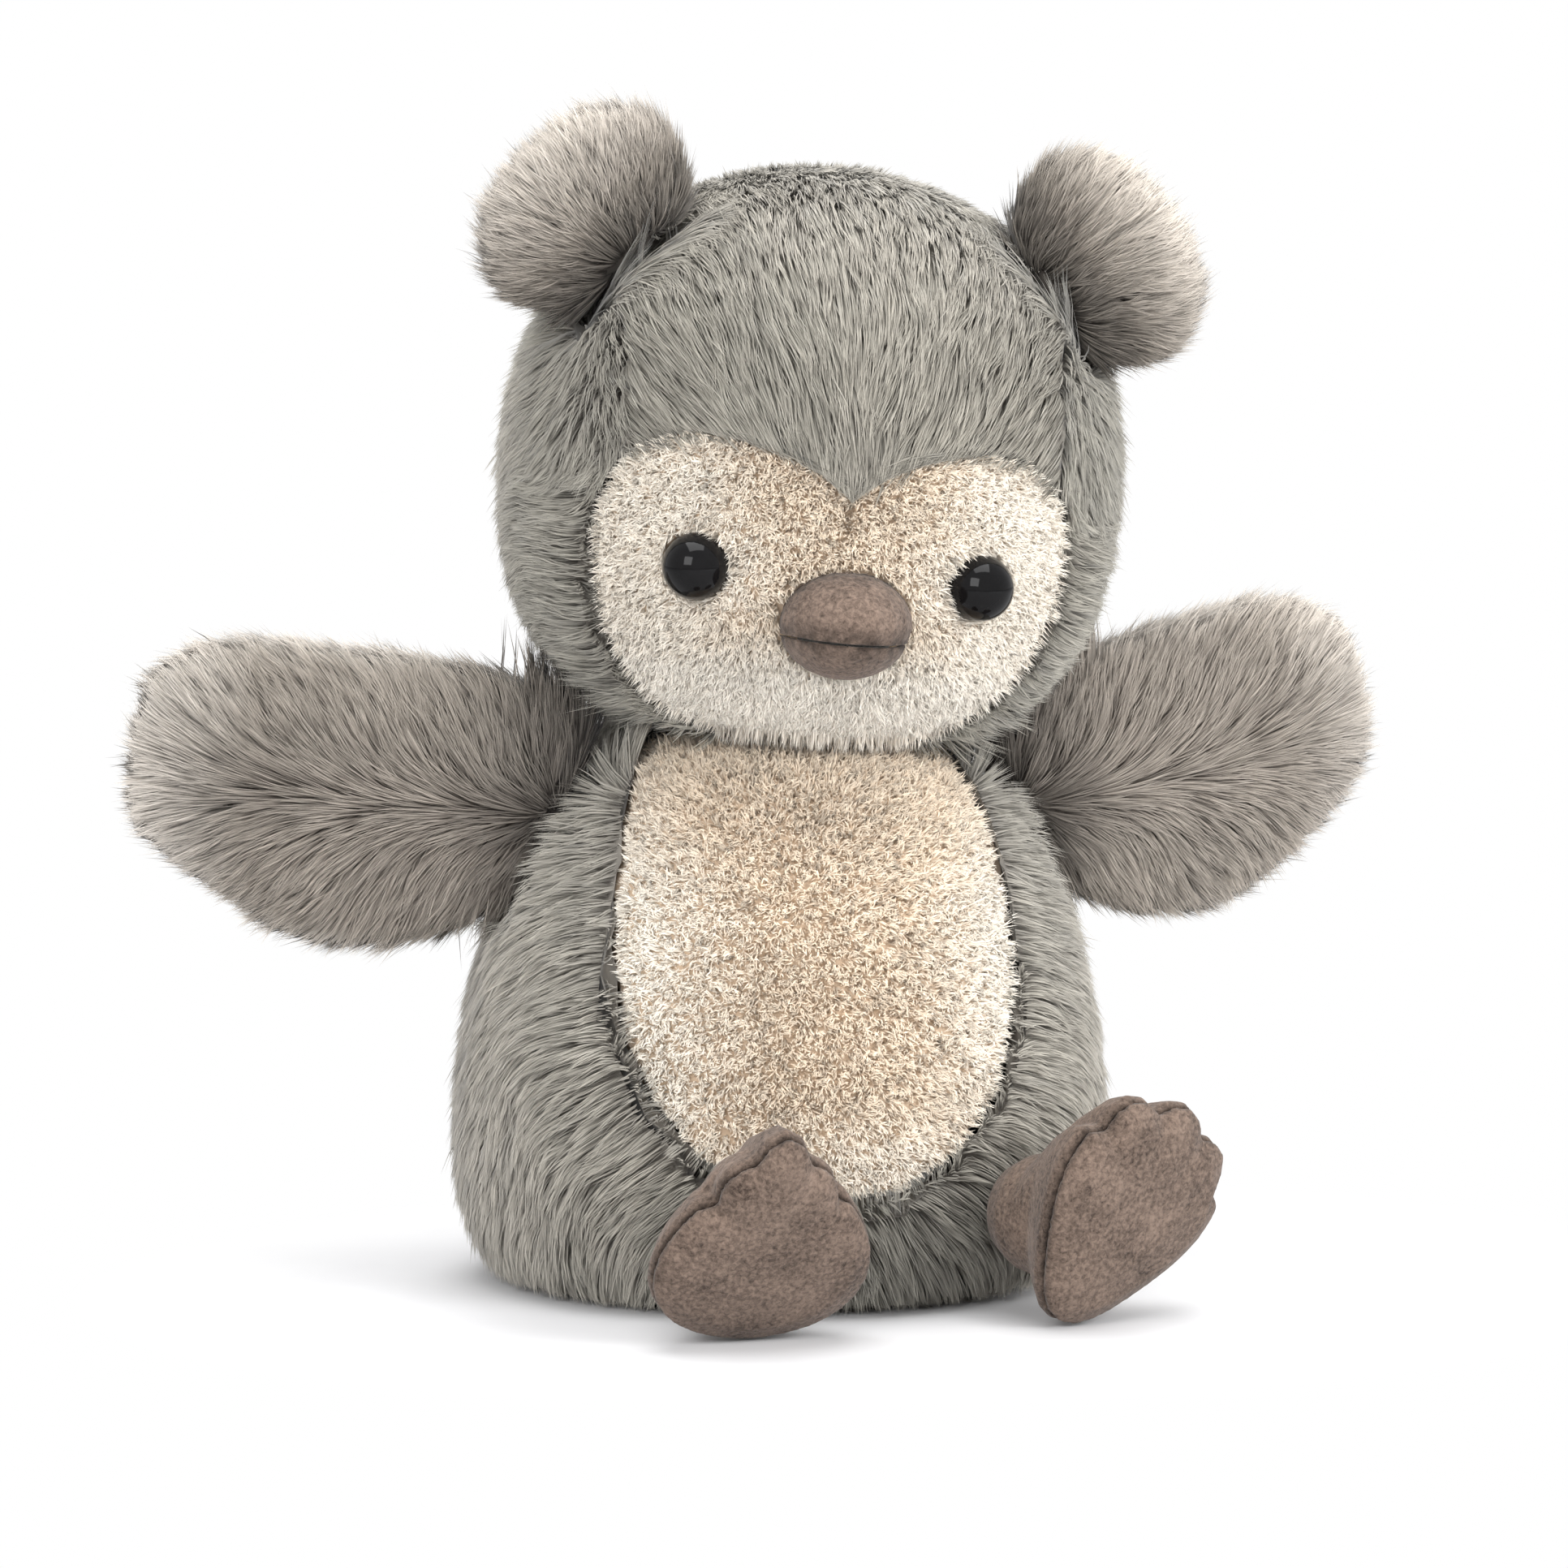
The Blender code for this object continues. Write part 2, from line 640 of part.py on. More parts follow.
base = place_object("base_panel", soft_mesh("base", body_place, BODY_RINGS, BODY_SEGMENTS), owl, Matrix())
combine(base, "DIFFERENCE", [body_core, floor_box])
combine(base, "INTERSECT", [base_rod])
finish(base, GREY, 0.95)

POUCH_RADII = Vector((POUCH_WIDTH / 2, POUCH_WIDTH / 2, POUCH_HEIGHT))
pouch_room = cutter(
    "pouch_room", ball_mesh("pouch_room", POUCH_RADII + Vector((1, 1, 1)) * SEAM_GAP)
)
pouch_frame = Matrix.Translation((0, 0, PLUSH_THICKNESS))
pouch_room.matrix_basis = pouch_frame
fill_depth = PLUSH_THICKNESS + SEAM_GAP
stuffing = place_object(
    "body_stuffing", soft_mesh("stuffing", body_place, CORE_RINGS, CORE_SEGMENTS, -fill_depth), owl, Matrix()
)
combine(stuffing, "DIFFERENCE", [pouch_room])
finish(stuffing, FILLING, 1.0)

pouch_fill = cutter("pouch_fill", soft_mesh("fill", body_place, CORE_RINGS, CORE_SEGMENTS, -fill_depth))
pouch = place_object("pellet_pouch", ball_mesh("pouch", POUCH_RADII), owl, pouch_frame)
combine(pouch, "INTERSECT", [pouch_fill])
finish(pouch, PELLETS, 0.8)

# Guides for the head, in the head's frame. The wedges reach this many times as far out as it
half_head = HEAD_WIDTH / 2
WEDGE_REACH_SHARE = 3.0
head_core = cutter(
    "head_core", soft_mesh("core", head_place, CORE_RINGS, CORE_SEGMENTS, -PLUSH_THICKNESS), head_frame
)


def face_loop(gap):
    """Points on the head's surface around the face, grown by a gap and pushed outward."""
    outline = mirrored([(x * half_head, z * half_head) for x, z in FACE_OUTLINE_SHARES])
    return [head_front(x, z) * WEDGE_REACH_SHARE for x, z in grown(outline, gap)]


def gusset_loop(gap):
    """Points around the gusset, from the brow over the crown to the nape and back."""
    edge = []
    steps = 24
    for i in range(steps + 1):
        angle = GUSSET_FROM + (GUSSET_TO - GUSSET_FROM) * i / steps
        half = curve_at(GUSSET_WIDTH_SHARES, i / steps)[0]
        reach = math.sqrt(1 - half**2)
        height = HEAD_RISE if math.sin(angle) > 0 else HEAD_DROP
        edge.append(
            (
                half * half_head + gap,
                -reach * HEAD_DEPTH / 2 * math.cos(angle),
                reach * height * math.sin(angle),
            )
        )
    back = [(-x, y, z) for x, y, z in reversed(edge)]
    return [Vector(point) * WEDGE_REACH_SHARE for point in edge + back]


FACE_FAR = Vector((0, -HEAD_DEPTH, -HEAD_DROP / 2)) * WEDGE_REACH_SHARE
CROWN_FAR = Vector((0, 0, 2 * HEAD_RISE)) * WEDGE_REACH_SHARE
face_plug = cutter("face_plug", wedge_mesh("face_plug", face_loop(0.0), FACE_FAR), head_frame)
face_hole = cutter("face_hole", wedge_mesh("face_hole", face_loop(SEAM_GAP), FACE_FAR), head_frame)
gusset_plug = cutter(
    "gusset_plug", wedge_mesh("gusset_plug", gusset_loop(0.0), CROWN_FAR), head_frame
)
gusset_hole = cutter(
    "gusset_hole", wedge_mesh("gusset_hole", gusset_loop(SEAM_GAP), CROWN_FAR), head_frame
)
left_half = half_box("left_half", 0, 1, head_frame)
right_half = half_box("right_half", 0, -1, head_frame)

ear_frames = {}
ear_joints = {}
ear_grooves = {}
for side, sign in (("left", 1), ("right", -1)):
    rise = EAR_RISES[side]
    outward = Vector((sign * math.cos(rise), 0, math.sin(rise)))
    along_seam = Vector((-sign * math.sin(rise), 0, math.cos(rise)))
    ring = math.sqrt(1 - (EAR_FORWARD / (HEAD_DEPTH / 2)) ** 2)
    reach = ring / math.hypot(outward.x / half_head, outward.z / HEAD_RISE) + EAR_STAND
    root = outward * reach + Vector((0, -EAR_FORWARD, 0))
    frame = head_frame @ frame_along(root, along_seam, outward)
    ear_frames[side] = frame
    ear_joints[side] = new_joint(f"ear_joint_{side}", frame, neck_joint)
    long_half = EAR_ROOT_WIDTH / 2 + SEAM_GAP
    groove = rod_mesh(f"ear_groove_{side}", EAR_ROOT_RADIUS + SEAM_GAP, -long_half, long_half)
    ear_grooves[side] = cutter(f"ear_groove_{side}", groove, frame)

# Head: gusset over the crown, side panels and the face around the stuffing
gusset = place_object(
    "head_gusset", soft_mesh("gusset", head_place, HEAD_RINGS, HEAD_SEGMENTS), owl, head_frame, neck_joint
)
combine(gusset, "DIFFERENCE", [head_core, face_hole, *ear_grooves.values()])
combine(gusset, "INTERSECT", [gusset_plug])
finish(gusset, GREY, 0.95)

for side, half in (("left", left_half), ("right", right_half)):
    panel = place_object(
        f"head_side_{side}", soft_mesh("side", head_place, HEAD_RINGS, HEAD_SEGMENTS), owl, head_frame, neck_joint
    )
    cuts = [head_core, face_hole, gusset_hole, body_guide, *ear_grooves.values()]
    combine(panel, "INTERSECT", [half])
    combine(panel, "DIFFERENCE", cuts)
    finish(panel, GREY, 0.95)

face = place_object(
    "face_panel",
    soft_mesh("face", head_place, HEAD_RINGS, HEAD_SEGMENTS, -SHORT_PILE_DROP),
    owl,
    head_frame,
    neck_joint,
)
combine(face, "DIFFERENCE", [head_core, body_guide])
combine(face, "INTERSECT", [face_plug])
finish(face, CREAM, 0.95)

head_stuffing = place_object(
    "head_stuffing",
    soft_mesh("filling", head_place, CORE_RINGS, CORE_SEGMENTS, -fill_depth),
    owl,
    head_frame,
    neck_joint,
)
combine(head_stuffing, "DIFFERENCE", [body_guide])
finish(head_stuffing, FILLING, 1.0)

# Eyes with their shanks and rings
for side, sign in (("left", 1), ("right", -1)):
    normal = head_normal(sign * EYE_SPREAD, -EYE_DROP)
    surface = head_front(sign * EYE_SPREAD, -EYE_DROP, SHORT_PILE_DROP)
    eye_frame = head_frame @ frame_along(surface, normal, (1, 0, 0))
    eye_radii = Vector((EYE_DIAMETER / 2, EYE_DIAMETER / 2, EYE_BULGE + EYE_SINK))
    dome_floor = half_box(f"eye_back_{side}", 2, -1, eye_frame, None, EYE_SINK)
    shank = cutter(
        f"shank_{side}", rod_mesh("shank", SHANK_DIAMETER / 2, -SHANK_REACH, 0, 12), eye_frame
    )
    eye = place_object(
        f"eye_{side}", ball_mesh("eye", eye_radii), owl, eye_frame, neck_joint
    )
    combine(eye, "DIFFERENCE", [dome_floor])
    combine(eye, "UNION", [shank])
    finish(eye, BLACK, 0.05)

    seat = cutter(
        f"eye_seat_{side}",
        rod_mesh("seat", EYE_DIAMETER / 2 + SEAM_GAP, -EYE_SINK - SEAM_GAP, CUT_OVERRUN),
        eye_frame,
    )
    shank_hole = cutter(
        f"shank_hole_{side}",
        rod_mesh("shank_hole", SHANK_DIAMETER / 2 + SEAM_GAP, -CUT_OVERRUN, 0, 12),
        eye_frame,
    )
    combine(face, "DIFFERENCE", [seat, shank_hole])

    ring_back = -WASHER_DEPTH - WASHER_THICKNESS
    washer = place_object(
        f"eye_washer_{side}",
        rod_mesh("washer", WASHER_DIAMETER / 2, ring_back, -WASHER_DEPTH),
        owl,
        eye_frame,
        neck_joint,
    )
    combine(washer, "DIFFERENCE", [shank_hole])
    finish(washer, FILLING, 0.5)
    pocket = cutter(
        f"washer_pocket_{side}",
        rod_mesh("pocket", WASHER_DIAMETER / 2 + SEAM_GAP, -SHANK_REACH - SEAM_GAP, CUT_OVERRUN),
        eye_frame,
    )
    combine(head_stuffing, "DIFFERENCE", [pocket])

# Beak: upper and lower panels and their filling, on the face
face_guide = cutter(
    "face_guide",
    soft_mesh("face_guide", head_place, HEAD_RINGS, HEAD_SEGMENTS, SEAM_GAP - SHORT_PILE_DROP),
    head_frame,
)
beak_root = head_front(BEAK_ASIDE, -BEAK_DROP, SHORT_PILE_DROP) + Vector((0, BEAK_SINK, 0))
beak_frame = head_frame @ Matrix.Translation(beak_root)
beak_radii = Vector((BEAK_WIDTH / 2, BEAK_REACH + BEAK_SINK, BEAK_HEIGHT / 2))
seam_frame = beak_frame @ Matrix.Translation((0, 0, -BEAK_SEAM_DROP))
skin = Vector((1, 1, 1)) * SUEDE_THICKNESS
beak_core = cutter("beak_core", ball_mesh("beak_core", beak_radii - skin), beak_frame)
above = half_box("beak_above", 2, 1, seam_frame)
below = half_box("beak_below", 2, -1, seam_frame)
for name, half in (("beak_upper", above), ("beak_lower", below)):
    panel = place_object(name, ball_mesh(name, beak_radii, 12, 20), owl, beak_frame, neck_joint)
    combine(panel, "DIFFERENCE", [beak_core, face_guide])
    combine(panel, "INTERSECT", [half])
    finish(panel, BROWN, 0.9)
gap_all = Vector((1, 1, 1)) * SEAM_GAP
beak_filling = place_object(
    "beak_filling", ball_mesh("beak_filling", beak_radii - skin - gap_all), owl, beak_frame,
    neck_joint,
)
combine(beak_filling, "DIFFERENCE", [face_guide])
finish(beak_filling, FILLING, 1.0)

# Ear tufts: a front and a back panel each
for side in ("left", "right"):
    frame = ear_frames[side]
    ahead = frame.to_3x3().inverted() @ Vector((0, -1, 0))
    front = 1 if ahead.y > 0 else -1
    for name, way in (("front", front), ("back", -front)):
        half = half_box(f"ear_{name}_half_{side}", 1, way, frame)
        panel = place_object(
            f"ear_{name}_{side}", soft_mesh("ear", ear_place, EAR_RINGS, EAR_SEGMENTS), owl, frame, ear_joints[side]
        )
        combine(panel, "INTERSECT", [half])
        finish(panel, GREY, 0.95)

# Wings: a front and a back panel over a thin filling, hollowed where the head turns over them
head_sweep = cutter(
    "head_sweep",
    soft_mesh("head_sweep", head_place, HEAD_RINGS, HEAD_SEGMENTS, HEAD_SWEEP),
    head_frame,
)
for side in ("left", "right"):
    frame = wing_frames[side]
    ahead = frame.to_3x3().inverted() @ Vector((0, -1, 0))
    front = 1 if ahead.y > 0 else -1
    length, height, thickness = WING_CORE_SHARES
    core_radii = Vector((length * WING_LENGTH, thickness * WING_THICKNESS, height * WING_HEIGHT))
    core_frame = frame @ Matrix.Translation((WING_CORE_PLACE_SHARE * WING_LENGTH, 0, 0))
    core = cutter(f"wing_core_{side}", ball_mesh("wing_core", core_radii + gap_all), core_frame)
    for name, way in (("front", front), ("back", -front)):
        half = half_box(f"wing_{name}_half_{side}", 1, way, frame)
        panel = place_object(
            f"wing_{name}_{side}", soft_mesh("wing", wing_place, WING_RINGS, WING_SEGMENTS), owl, frame,
            wing_joints[side],
        )
        combine(panel, "DIFFERENCE", [core, head_sweep])
        combine(panel, "INTERSECT", [half])
        finish(panel, GREY, 0.95)
    filling = place_object(
        f"wing_filling_{side}", ball_mesh("wing_filling", core_radii), owl, core_frame,
        wing_joints[side],
    )
    finish(filling, FILLING, 1.0)

# Feet: a sole and an upper over a filled core
for side in ("left", "right"):
    frame = foot_frames[side]
    width, depth, length = FOOT_CORE_SHARES
    core_radii = Vector((width * FOOT_WIDTH, depth * FOOT_DEPTH, length * FOOT_LENGTH))
    sole_turn = frame @ Matrix.Rotation(FOOT_LEANS[side], 4, "X")
    core_frame = sole_turn @ Matrix.Translation((0, FOOT_CORE_PLACE_SHARE * FOOT_DEPTH, 0))
    core = cutter(f"foot_core_{side}", ball_mesh("foot_core", core_radii + gap_all), core_frame)
    sole_frame = sole_turn @ Matrix.Translation((0, SOLE_THICKNESS, 0))
    ahead = half_box(f"sole_half_{side}", 1, -1, sole_frame)
    behind = half_box(f"upper_half_{side}", 1, 1, sole_frame)
    for name, half in (("sole", ahead), ("upper", behind)):
        panel = place_object(
            f"foot_{name}_{side}", foot_meshes[side].copy(), owl, frame, foot_joints[side]
        )
        combine(panel, "INTERSECT", [half])
        combine(panel, "DIFFERENCE", [core])
        finish(panel, BROWN, 0.9)
    filling = place_object(
        f"foot_filling_{side}", ball_mesh("foot_filling", core_radii), owl, core_frame,
        foot_joints[side],
    )
    finish(filling, FILLING, 1.0)
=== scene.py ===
import math

import bpy
import numpy as np
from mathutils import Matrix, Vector
from mathutils.bvhtree import BVHTree
from mathutils.kdtree import KDTree


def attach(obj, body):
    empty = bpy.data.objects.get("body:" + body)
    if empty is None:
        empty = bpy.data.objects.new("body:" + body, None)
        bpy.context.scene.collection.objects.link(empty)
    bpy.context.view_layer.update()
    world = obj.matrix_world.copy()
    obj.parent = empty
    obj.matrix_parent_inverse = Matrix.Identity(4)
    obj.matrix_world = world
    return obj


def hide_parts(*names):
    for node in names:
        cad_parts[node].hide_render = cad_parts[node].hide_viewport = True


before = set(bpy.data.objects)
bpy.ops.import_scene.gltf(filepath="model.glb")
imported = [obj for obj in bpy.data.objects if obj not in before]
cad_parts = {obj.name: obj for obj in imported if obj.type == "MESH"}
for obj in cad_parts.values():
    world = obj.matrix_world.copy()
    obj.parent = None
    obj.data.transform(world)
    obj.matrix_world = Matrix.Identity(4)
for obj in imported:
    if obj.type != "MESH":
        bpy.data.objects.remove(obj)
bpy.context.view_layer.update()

# Studio: the owl sits on a white table that turns into white paper, under wide soft lamps
# from the front, above and both sides. The camera stands 1.25 m away, a little to the
# owl's right and above its middle.


def to_linear(*colour):
    """A colour seen on a screen, 0 to 255, as the light that it stands for."""
    shares = [value / 255 for value in colour]
    return [s / 12.92 if s <= 0.04045 else ((s + 0.055) / 1.055) ** 2.4 for s in shares] + [1]


def add_node(tree, kind, settings=None, **inputs):
    """Put a node in a tree, with its settings and its inputs: a value, or another node's socket.

    An input is named as in Blender, or i and its number."""
    made = tree.nodes.new(kind)
    for name, value in (settings or {}).items():
        setattr(made, name, value)
    for name, value in inputs.items():
        by_number = name[0] == "i" and name[1:].isdigit()
        spot = made.inputs[int(name[1:]) if by_number else name.replace("_", " ")]
        if isinstance(value, bpy.types.NodeSocket):
            tree.links.new(value, spot)
        else:
            spot.default_value = value
    return made


def add_mix(tree, share, first, second):
    """Mix two colours by a share."""
    return add_node(tree, "ShaderNodeMix", {"data_type": "RGBA"}, i0=share, i6=first, i7=second).outputs[2]


def new_finish(name):
    """Start a material with nothing but its Principled shader and output."""
    finish = bpy.data.materials.new(name)
    finish.use_nodes = True
    return finish, finish.node_tree, finish.node_tree.nodes["Principled BSDF"]


def aim(thing, target):
    """Turn a lamp or the camera to a point."""
    thing.rotation_mode = "QUATERNION"
    thing.rotation_quaternion = (thing.location - Vector(target)).to_track_quat("Z", "Y")


PHOTO_SIDE = 1932
PIXELS_PER_METRE = 7400
CAMERA_DISTANCE = 1.25
turn, lift = math.radians(-10.5), math.radians(6.5)
back = Vector((math.sin(turn) * math.cos(lift), -math.cos(turn) * math.cos(lift), math.sin(lift)))
up = Vector((-math.sin(turn) * math.sin(lift), math.cos(turn) * math.sin(lift), math.cos(lift)))
right = Vector((math.cos(turn), math.sin(turn), 0))
target = right * (5 / PIXELS_PER_METRE) + up * (599 / PIXELS_PER_METRE)
bpy.ops.object.camera_add(location=target + back * CAMERA_DISTANCE)
camera = bpy.context.object
camera.name = "studio_camera"
camera.rotation_mode = "QUATERNION"
camera.rotation_quaternion = back.to_track_quat("Z", "Y")
camera.data.sensor_fit = "HORIZONTAL"
camera.data.sensor_width = 36
camera.data.lens = 36 * CAMERA_DISTANCE / (PHOTO_SIDE / PIXELS_PER_METRE)
bpy.context.scene.camera = camera

LAMPS = (
    ("softbox_left", (-0.75, -1.05, 0.75), 0.70, 11.5),
    ("softbox_right", (0.90, -0.95, 0.60), 0.70, 17.0),
    ("softbox_top", (0.0, -0.10, 1.25), 0.90, 14.0),
    ("softbox_back", (0.25, 1.05, 0.70), 0.80, 9.0),
)
for name, place, side, watts in LAMPS:
    bpy.ops.object.light_add(type="AREA", location=place)
    lamp = bpy.context.object
    lamp.name = name
    lamp.data.shape = "SQUARE"
    lamp.data.size = side
    lamp.data.energy = watts
    lamp.visible_glossy = name != "softbox_right"
    aim(lamp, (0, 0, 0.09))

world = bpy.data.worlds.new("studio_air")
bpy.context.scene.world = world
world.use_nodes = True
air = world.node_tree
path = add_node(air, "ShaderNodeLightPath")
seen = add_node(
    air, "ShaderNodeMath", {"operation": "MAXIMUM"}, i0=path.outputs["Is Camera Ray"], i1=path.outputs["Is Glossy Ray"]
)
seen = add_node(
    air, "ShaderNodeMath", {"operation": "MAXIMUM"}, i0=seen.outputs[0], i1=path.outputs["Is Transmission Ray"]
)
level = add_node(air, "ShaderNodeMapRange", None, Value=seen.outputs[0], To_Min=0.72, To_Max=1.0)
air.nodes["Background"].inputs["Color"].default_value = (1, 1, 1, 1)
air.links.new(level.outputs[0], air.nodes["Background"].inputs["Strength"])

bpy.ops.mesh.primitive_plane_add(size=8)
floor = bpy.context.object
floor.name = "white_table"
paper, tree, shader = new_finish("white_paper")
grain = add_node(tree, "ShaderNodeTexNoise", None, Scale=600.0, Detail=2.0)
tone = add_mix(tree, grain.outputs[0], (0.60, 0.60, 0.61, 1), (0.63, 0.63, 0.64, 1))
tree.links.new(tone, shader.inputs["Base Color"])
shader.inputs["Roughness"].default_value = 0.9
shader.inputs["Specular IOR Level"].default_value = 0.1
place = add_node(tree, "ShaderNodeTexCoord")
middle = add_node(
    tree, "ShaderNodeMapping", None,
    Vector=place.outputs["Object"], Location=(-0.015, 0.02, 0), Scale=(1.0, 1.3, 1.0),
)
spread = add_node(tree, "ShaderNodeVectorMath", {"operation": "LENGTH"}, i0=middle.outputs[0])
fade = add_node(
    tree, "ShaderNodeMapRange", {"interpolation_type": "SMOOTHSTEP"},
    Value=spread.outputs["Value"], From_Min=0.08, From_Max=0.135,
)
path = add_node(tree, "ShaderNodeLightPath")
seen = add_node(
    tree, "ShaderNodeMath", {"operation": "MULTIPLY"}, i0=fade.outputs[0], i1=path.outputs["Is Camera Ray"]
)
glow = add_node(tree, "ShaderNodeEmission", None, Color=(1, 1, 1, 1), Strength=1.0)
both = add_node(tree, "ShaderNodeMixShader", None, i0=seen.outputs[0], i1=shader.outputs[0], i2=glow.outputs[0])
tree.links.new(both.outputs[0], tree.nodes["Material Output"].inputs["Surface"])
floor.data.materials.append(paper)
bpy.context.scene.view_settings.view_transform = "Standard"

# Stuffing: balls of white polyester fibre in the body, head, wings, feet and beak, and a
# cloth pouch of plastic pellets on the base that keeps the owl sitting. None of it shows
# on the finished toy.


def copy_of(node, name):
    """A new piece with the merged mesh of a CAD node."""
    bpy.ops.object.select_all(action="DESELECT")
    piece = bpy.data.objects.new(name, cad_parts[node].data.copy())
    piece.data.materials.clear()
    bpy.context.scene.collection.objects.link(piece)
    bpy.context.view_layer.objects.active = piece
    piece.select_set(True)
    bpy.ops.object.mode_set(mode="EDIT")
    bpy.ops.mesh.select_all(action="SELECT")
    bpy.ops.mesh.remove_doubles(threshold=0.00001)
    bpy.ops.object.mode_set(mode="OBJECT")
    return piece


def apply_all(piece):
    """Apply a piece's modifiers in their order."""
    bpy.ops.object.select_all(action="DESELECT")
    bpy.context.view_layer.objects.active = piece
    piece.select_set(True)
    for change in list(piece.modifiers):
        bpy.ops.object.modifier_apply(modifier=change.name)


lumps = bpy.data.textures.new("fibre_lumps", "CLOUDS")
lumps.noise_scale = 0.012

fibre, tree, shader = new_finish("white_fibre")
place = add_node(tree, "ShaderNodeTexCoord")
strands = add_node(
    tree, "ShaderNodeTexNoise", None, Vector=place.outputs["Object"], Scale=900.0, Detail=4.0, Distortion=1.5
)
tone = add_mix(tree, strands.outputs[0], to_linear(205, 203, 198), to_linear(243, 242, 238))
bump = add_node(tree, "ShaderNodeBump", None, Strength=0.5, Distance=0.0006, Height=strands.outputs[0])
tree.links.new(tone, shader.inputs["Base Color"])
tree.links.new(bump.outputs[0], shader.inputs["Normal"])
shader.inputs["Roughness"].default_value = 0.95

pouch_cloth, tree, shader = new_finish("pouch_cloth")
place = add_node(tree, "ShaderNodeTexCoord")
beads = add_node(tree, "ShaderNodeTexVoronoi", None, Vector=place.outputs["Object"], Scale=330.0)
weave = add_node(tree, "ShaderNodeTexNoise", None, Vector=place.outputs["Object"], Scale=1500.0)
tone = add_mix(tree, weave.outputs[0], to_linear(178, 174, 165), to_linear(214, 210, 201))
bump = add_node(tree, "ShaderNodeBump", {"invert": True}, Strength=0.6, Distance=0.001, Height=beads.outputs[0])
tree.links.new(tone, shader.inputs["Base Color"])
tree.links.new(bump.outputs[0], shader.inputs["Normal"])
shader.inputs["Roughness"].default_value = 0.85

FILLINGS = (  # CAD node, body, size of its mesh in metres, fill, and how far its surface is set in, in lumps
    ("body_stuffing", "body", 0.0030, 0.8, 1.0),
    ("pellet_pouch", "body", 0.0025, 0.7, 1.0),
    ("head_stuffing", "head", 0.0030, 0.9, 1.0),
    ("beak_filling", "head", 0.0012, 0.8, 1.0),
    ("wing_filling_left", "wing_left", 0.0015, 0.5, 1.0),
    ("wing_filling_right", "wing_right", 0.0015, 0.5, 1.0),
    ("foot_filling_left", "leg_left", 0.0012, 0.8, 3.0),
    ("foot_filling_right", "leg_right", 0.0012, 0.8, 3.0),
)
for node, body, grain_size, fill, inset in FILLINGS:
    ball = copy_of(node, node + "_form")
    remesh = ball.modifiers.new("even mesh", "REMESH")
    remesh.mode = "VOXEL"
    remesh.voxel_size = grain_size
    ease = ball.modifiers.new("soft edges", "CORRECTIVE_SMOOTH")
    ease.iterations = 4
    ease.use_only_smooth = True
    dent = ball.modifiers.new("lumps", "DISPLACE")
    dent.texture = lumps
    dent.texture_coords = "GLOBAL"
    dent.strength = 0.0010
    dent.mid_level = inset
    apply_all(ball)
    bpy.ops.object.shade_smooth()
    ball.data.materials.append(pouch_cloth if node == "pellet_pouch" else fibre)
    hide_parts(node)
    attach(ball, body)

# Body: two side panels of long grey plush, sewn together down the front and back. The pile
# is 10 to 12 mm long. It lies away from the tummy's edge and then down, in soft locks with
# pale tips on a knitted backing. The darker roots, and the backing in the roots' colour, are
# partly the pile's own tone and partly painted shade deep in the pile.


def solid_tree():
    """All the CAD nodes' surfaces in one tree for rays."""
    corners, faces = [], []
    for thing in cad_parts.values():
        start = len(corners)
        corners += [vert.co.copy() for vert in thing.data.vertices]
        faces += [[start + i for i in face.vertices] for face in thing.data.polygons]
    return BVHTree.FromPolygons(corners, faces)


solids = solid_tree()


def is_free(spot, way, air):
    """Whether there is this much air in front of a spot of a surface."""
    return solids.ray_cast(Vector(spot + way * 5e-5), Vector(way), air)[0] is None


def units(rows):
    """Each row as long as one."""
    return rows / np.maximum(np.linalg.norm(rows, axis=1, keepdims=True), 1e-9)


def dots(first, second):
    """The dot product of each pair of rows, as a column."""
    return (first * second).sum(1, keepdims=True)


FACE_SPOTS = np.array([
    (1 / 3, 1 / 3, 1 / 3), (0.8, 0.1, 0.1), (0.1, 0.8, 0.1), (0.1, 0.1, 0.8),
    (0.45, 0.45, 0.1), (0.1, 0.45, 0.45), (0.45, 0.1, 0.45),
])


def backing_of(node, depth, air):
    """A CAD panel with its open side set in to where the pile is knitted into the backing.

    Gives the set-in points, the CAD's points, their normals, those of the backing, all faces,
    and which faces are open."""
    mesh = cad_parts[node].data
    points = np.array([vert.co for vert in mesh.vertices])
    faces = np.array([face.vertices[:] for face in mesh.polygons])
    _, first, same = np.unique(np.round(points * 1e5), axis=0, return_index=True, return_inverse=True)
    points, faces = points[first], same.reshape(-1)[faces]
    a, b, c = faces.T
    faces = faces[(a != b) & (b != c) & (c != a)]
    cross = np.cross(points[faces[:, 1]] - points[faces[:, 0]], points[faces[:, 2]] - points[faces[:, 0]])
    flat = units(cross)
    tries = np.einsum("sk,fkd->fsd", FACE_SPOTS, points[faces])
    is_open = np.array([any(is_free(spot, way, air) for spot in spots) for spots, way in zip(tries, flat)])
    outer, inner = np.zeros_like(points), np.zeros_like(points)
    for i in range(3):
        np.add.at(outer, faces[is_open, i], cross[is_open])
        np.add.at(inner, faces[~is_open, i], cross[~is_open])
    normals, walls = units(outer), units(inner)
    touched = np.zeros(len(points), bool)
    touched[faces[is_open].ravel()] = True
    moves = np.zeros_like(points)
    for i in np.flatnonzero(touched):
        point, normal = Vector(points[i]), Vector(normals[i])
        hit = solids.ray_cast(point - normal * 2e-4, -normal, 0.03)
        thickness = hit[3] if hit[0] is not None else depth
        moves[i] = -normals[i] * min(depth, 0.55 * thickness + 1e-4)
    moves -= walls * np.maximum(dots(moves, walls), 0)
    return points + moves, points, normals, units(outer + inner), faces, is_open


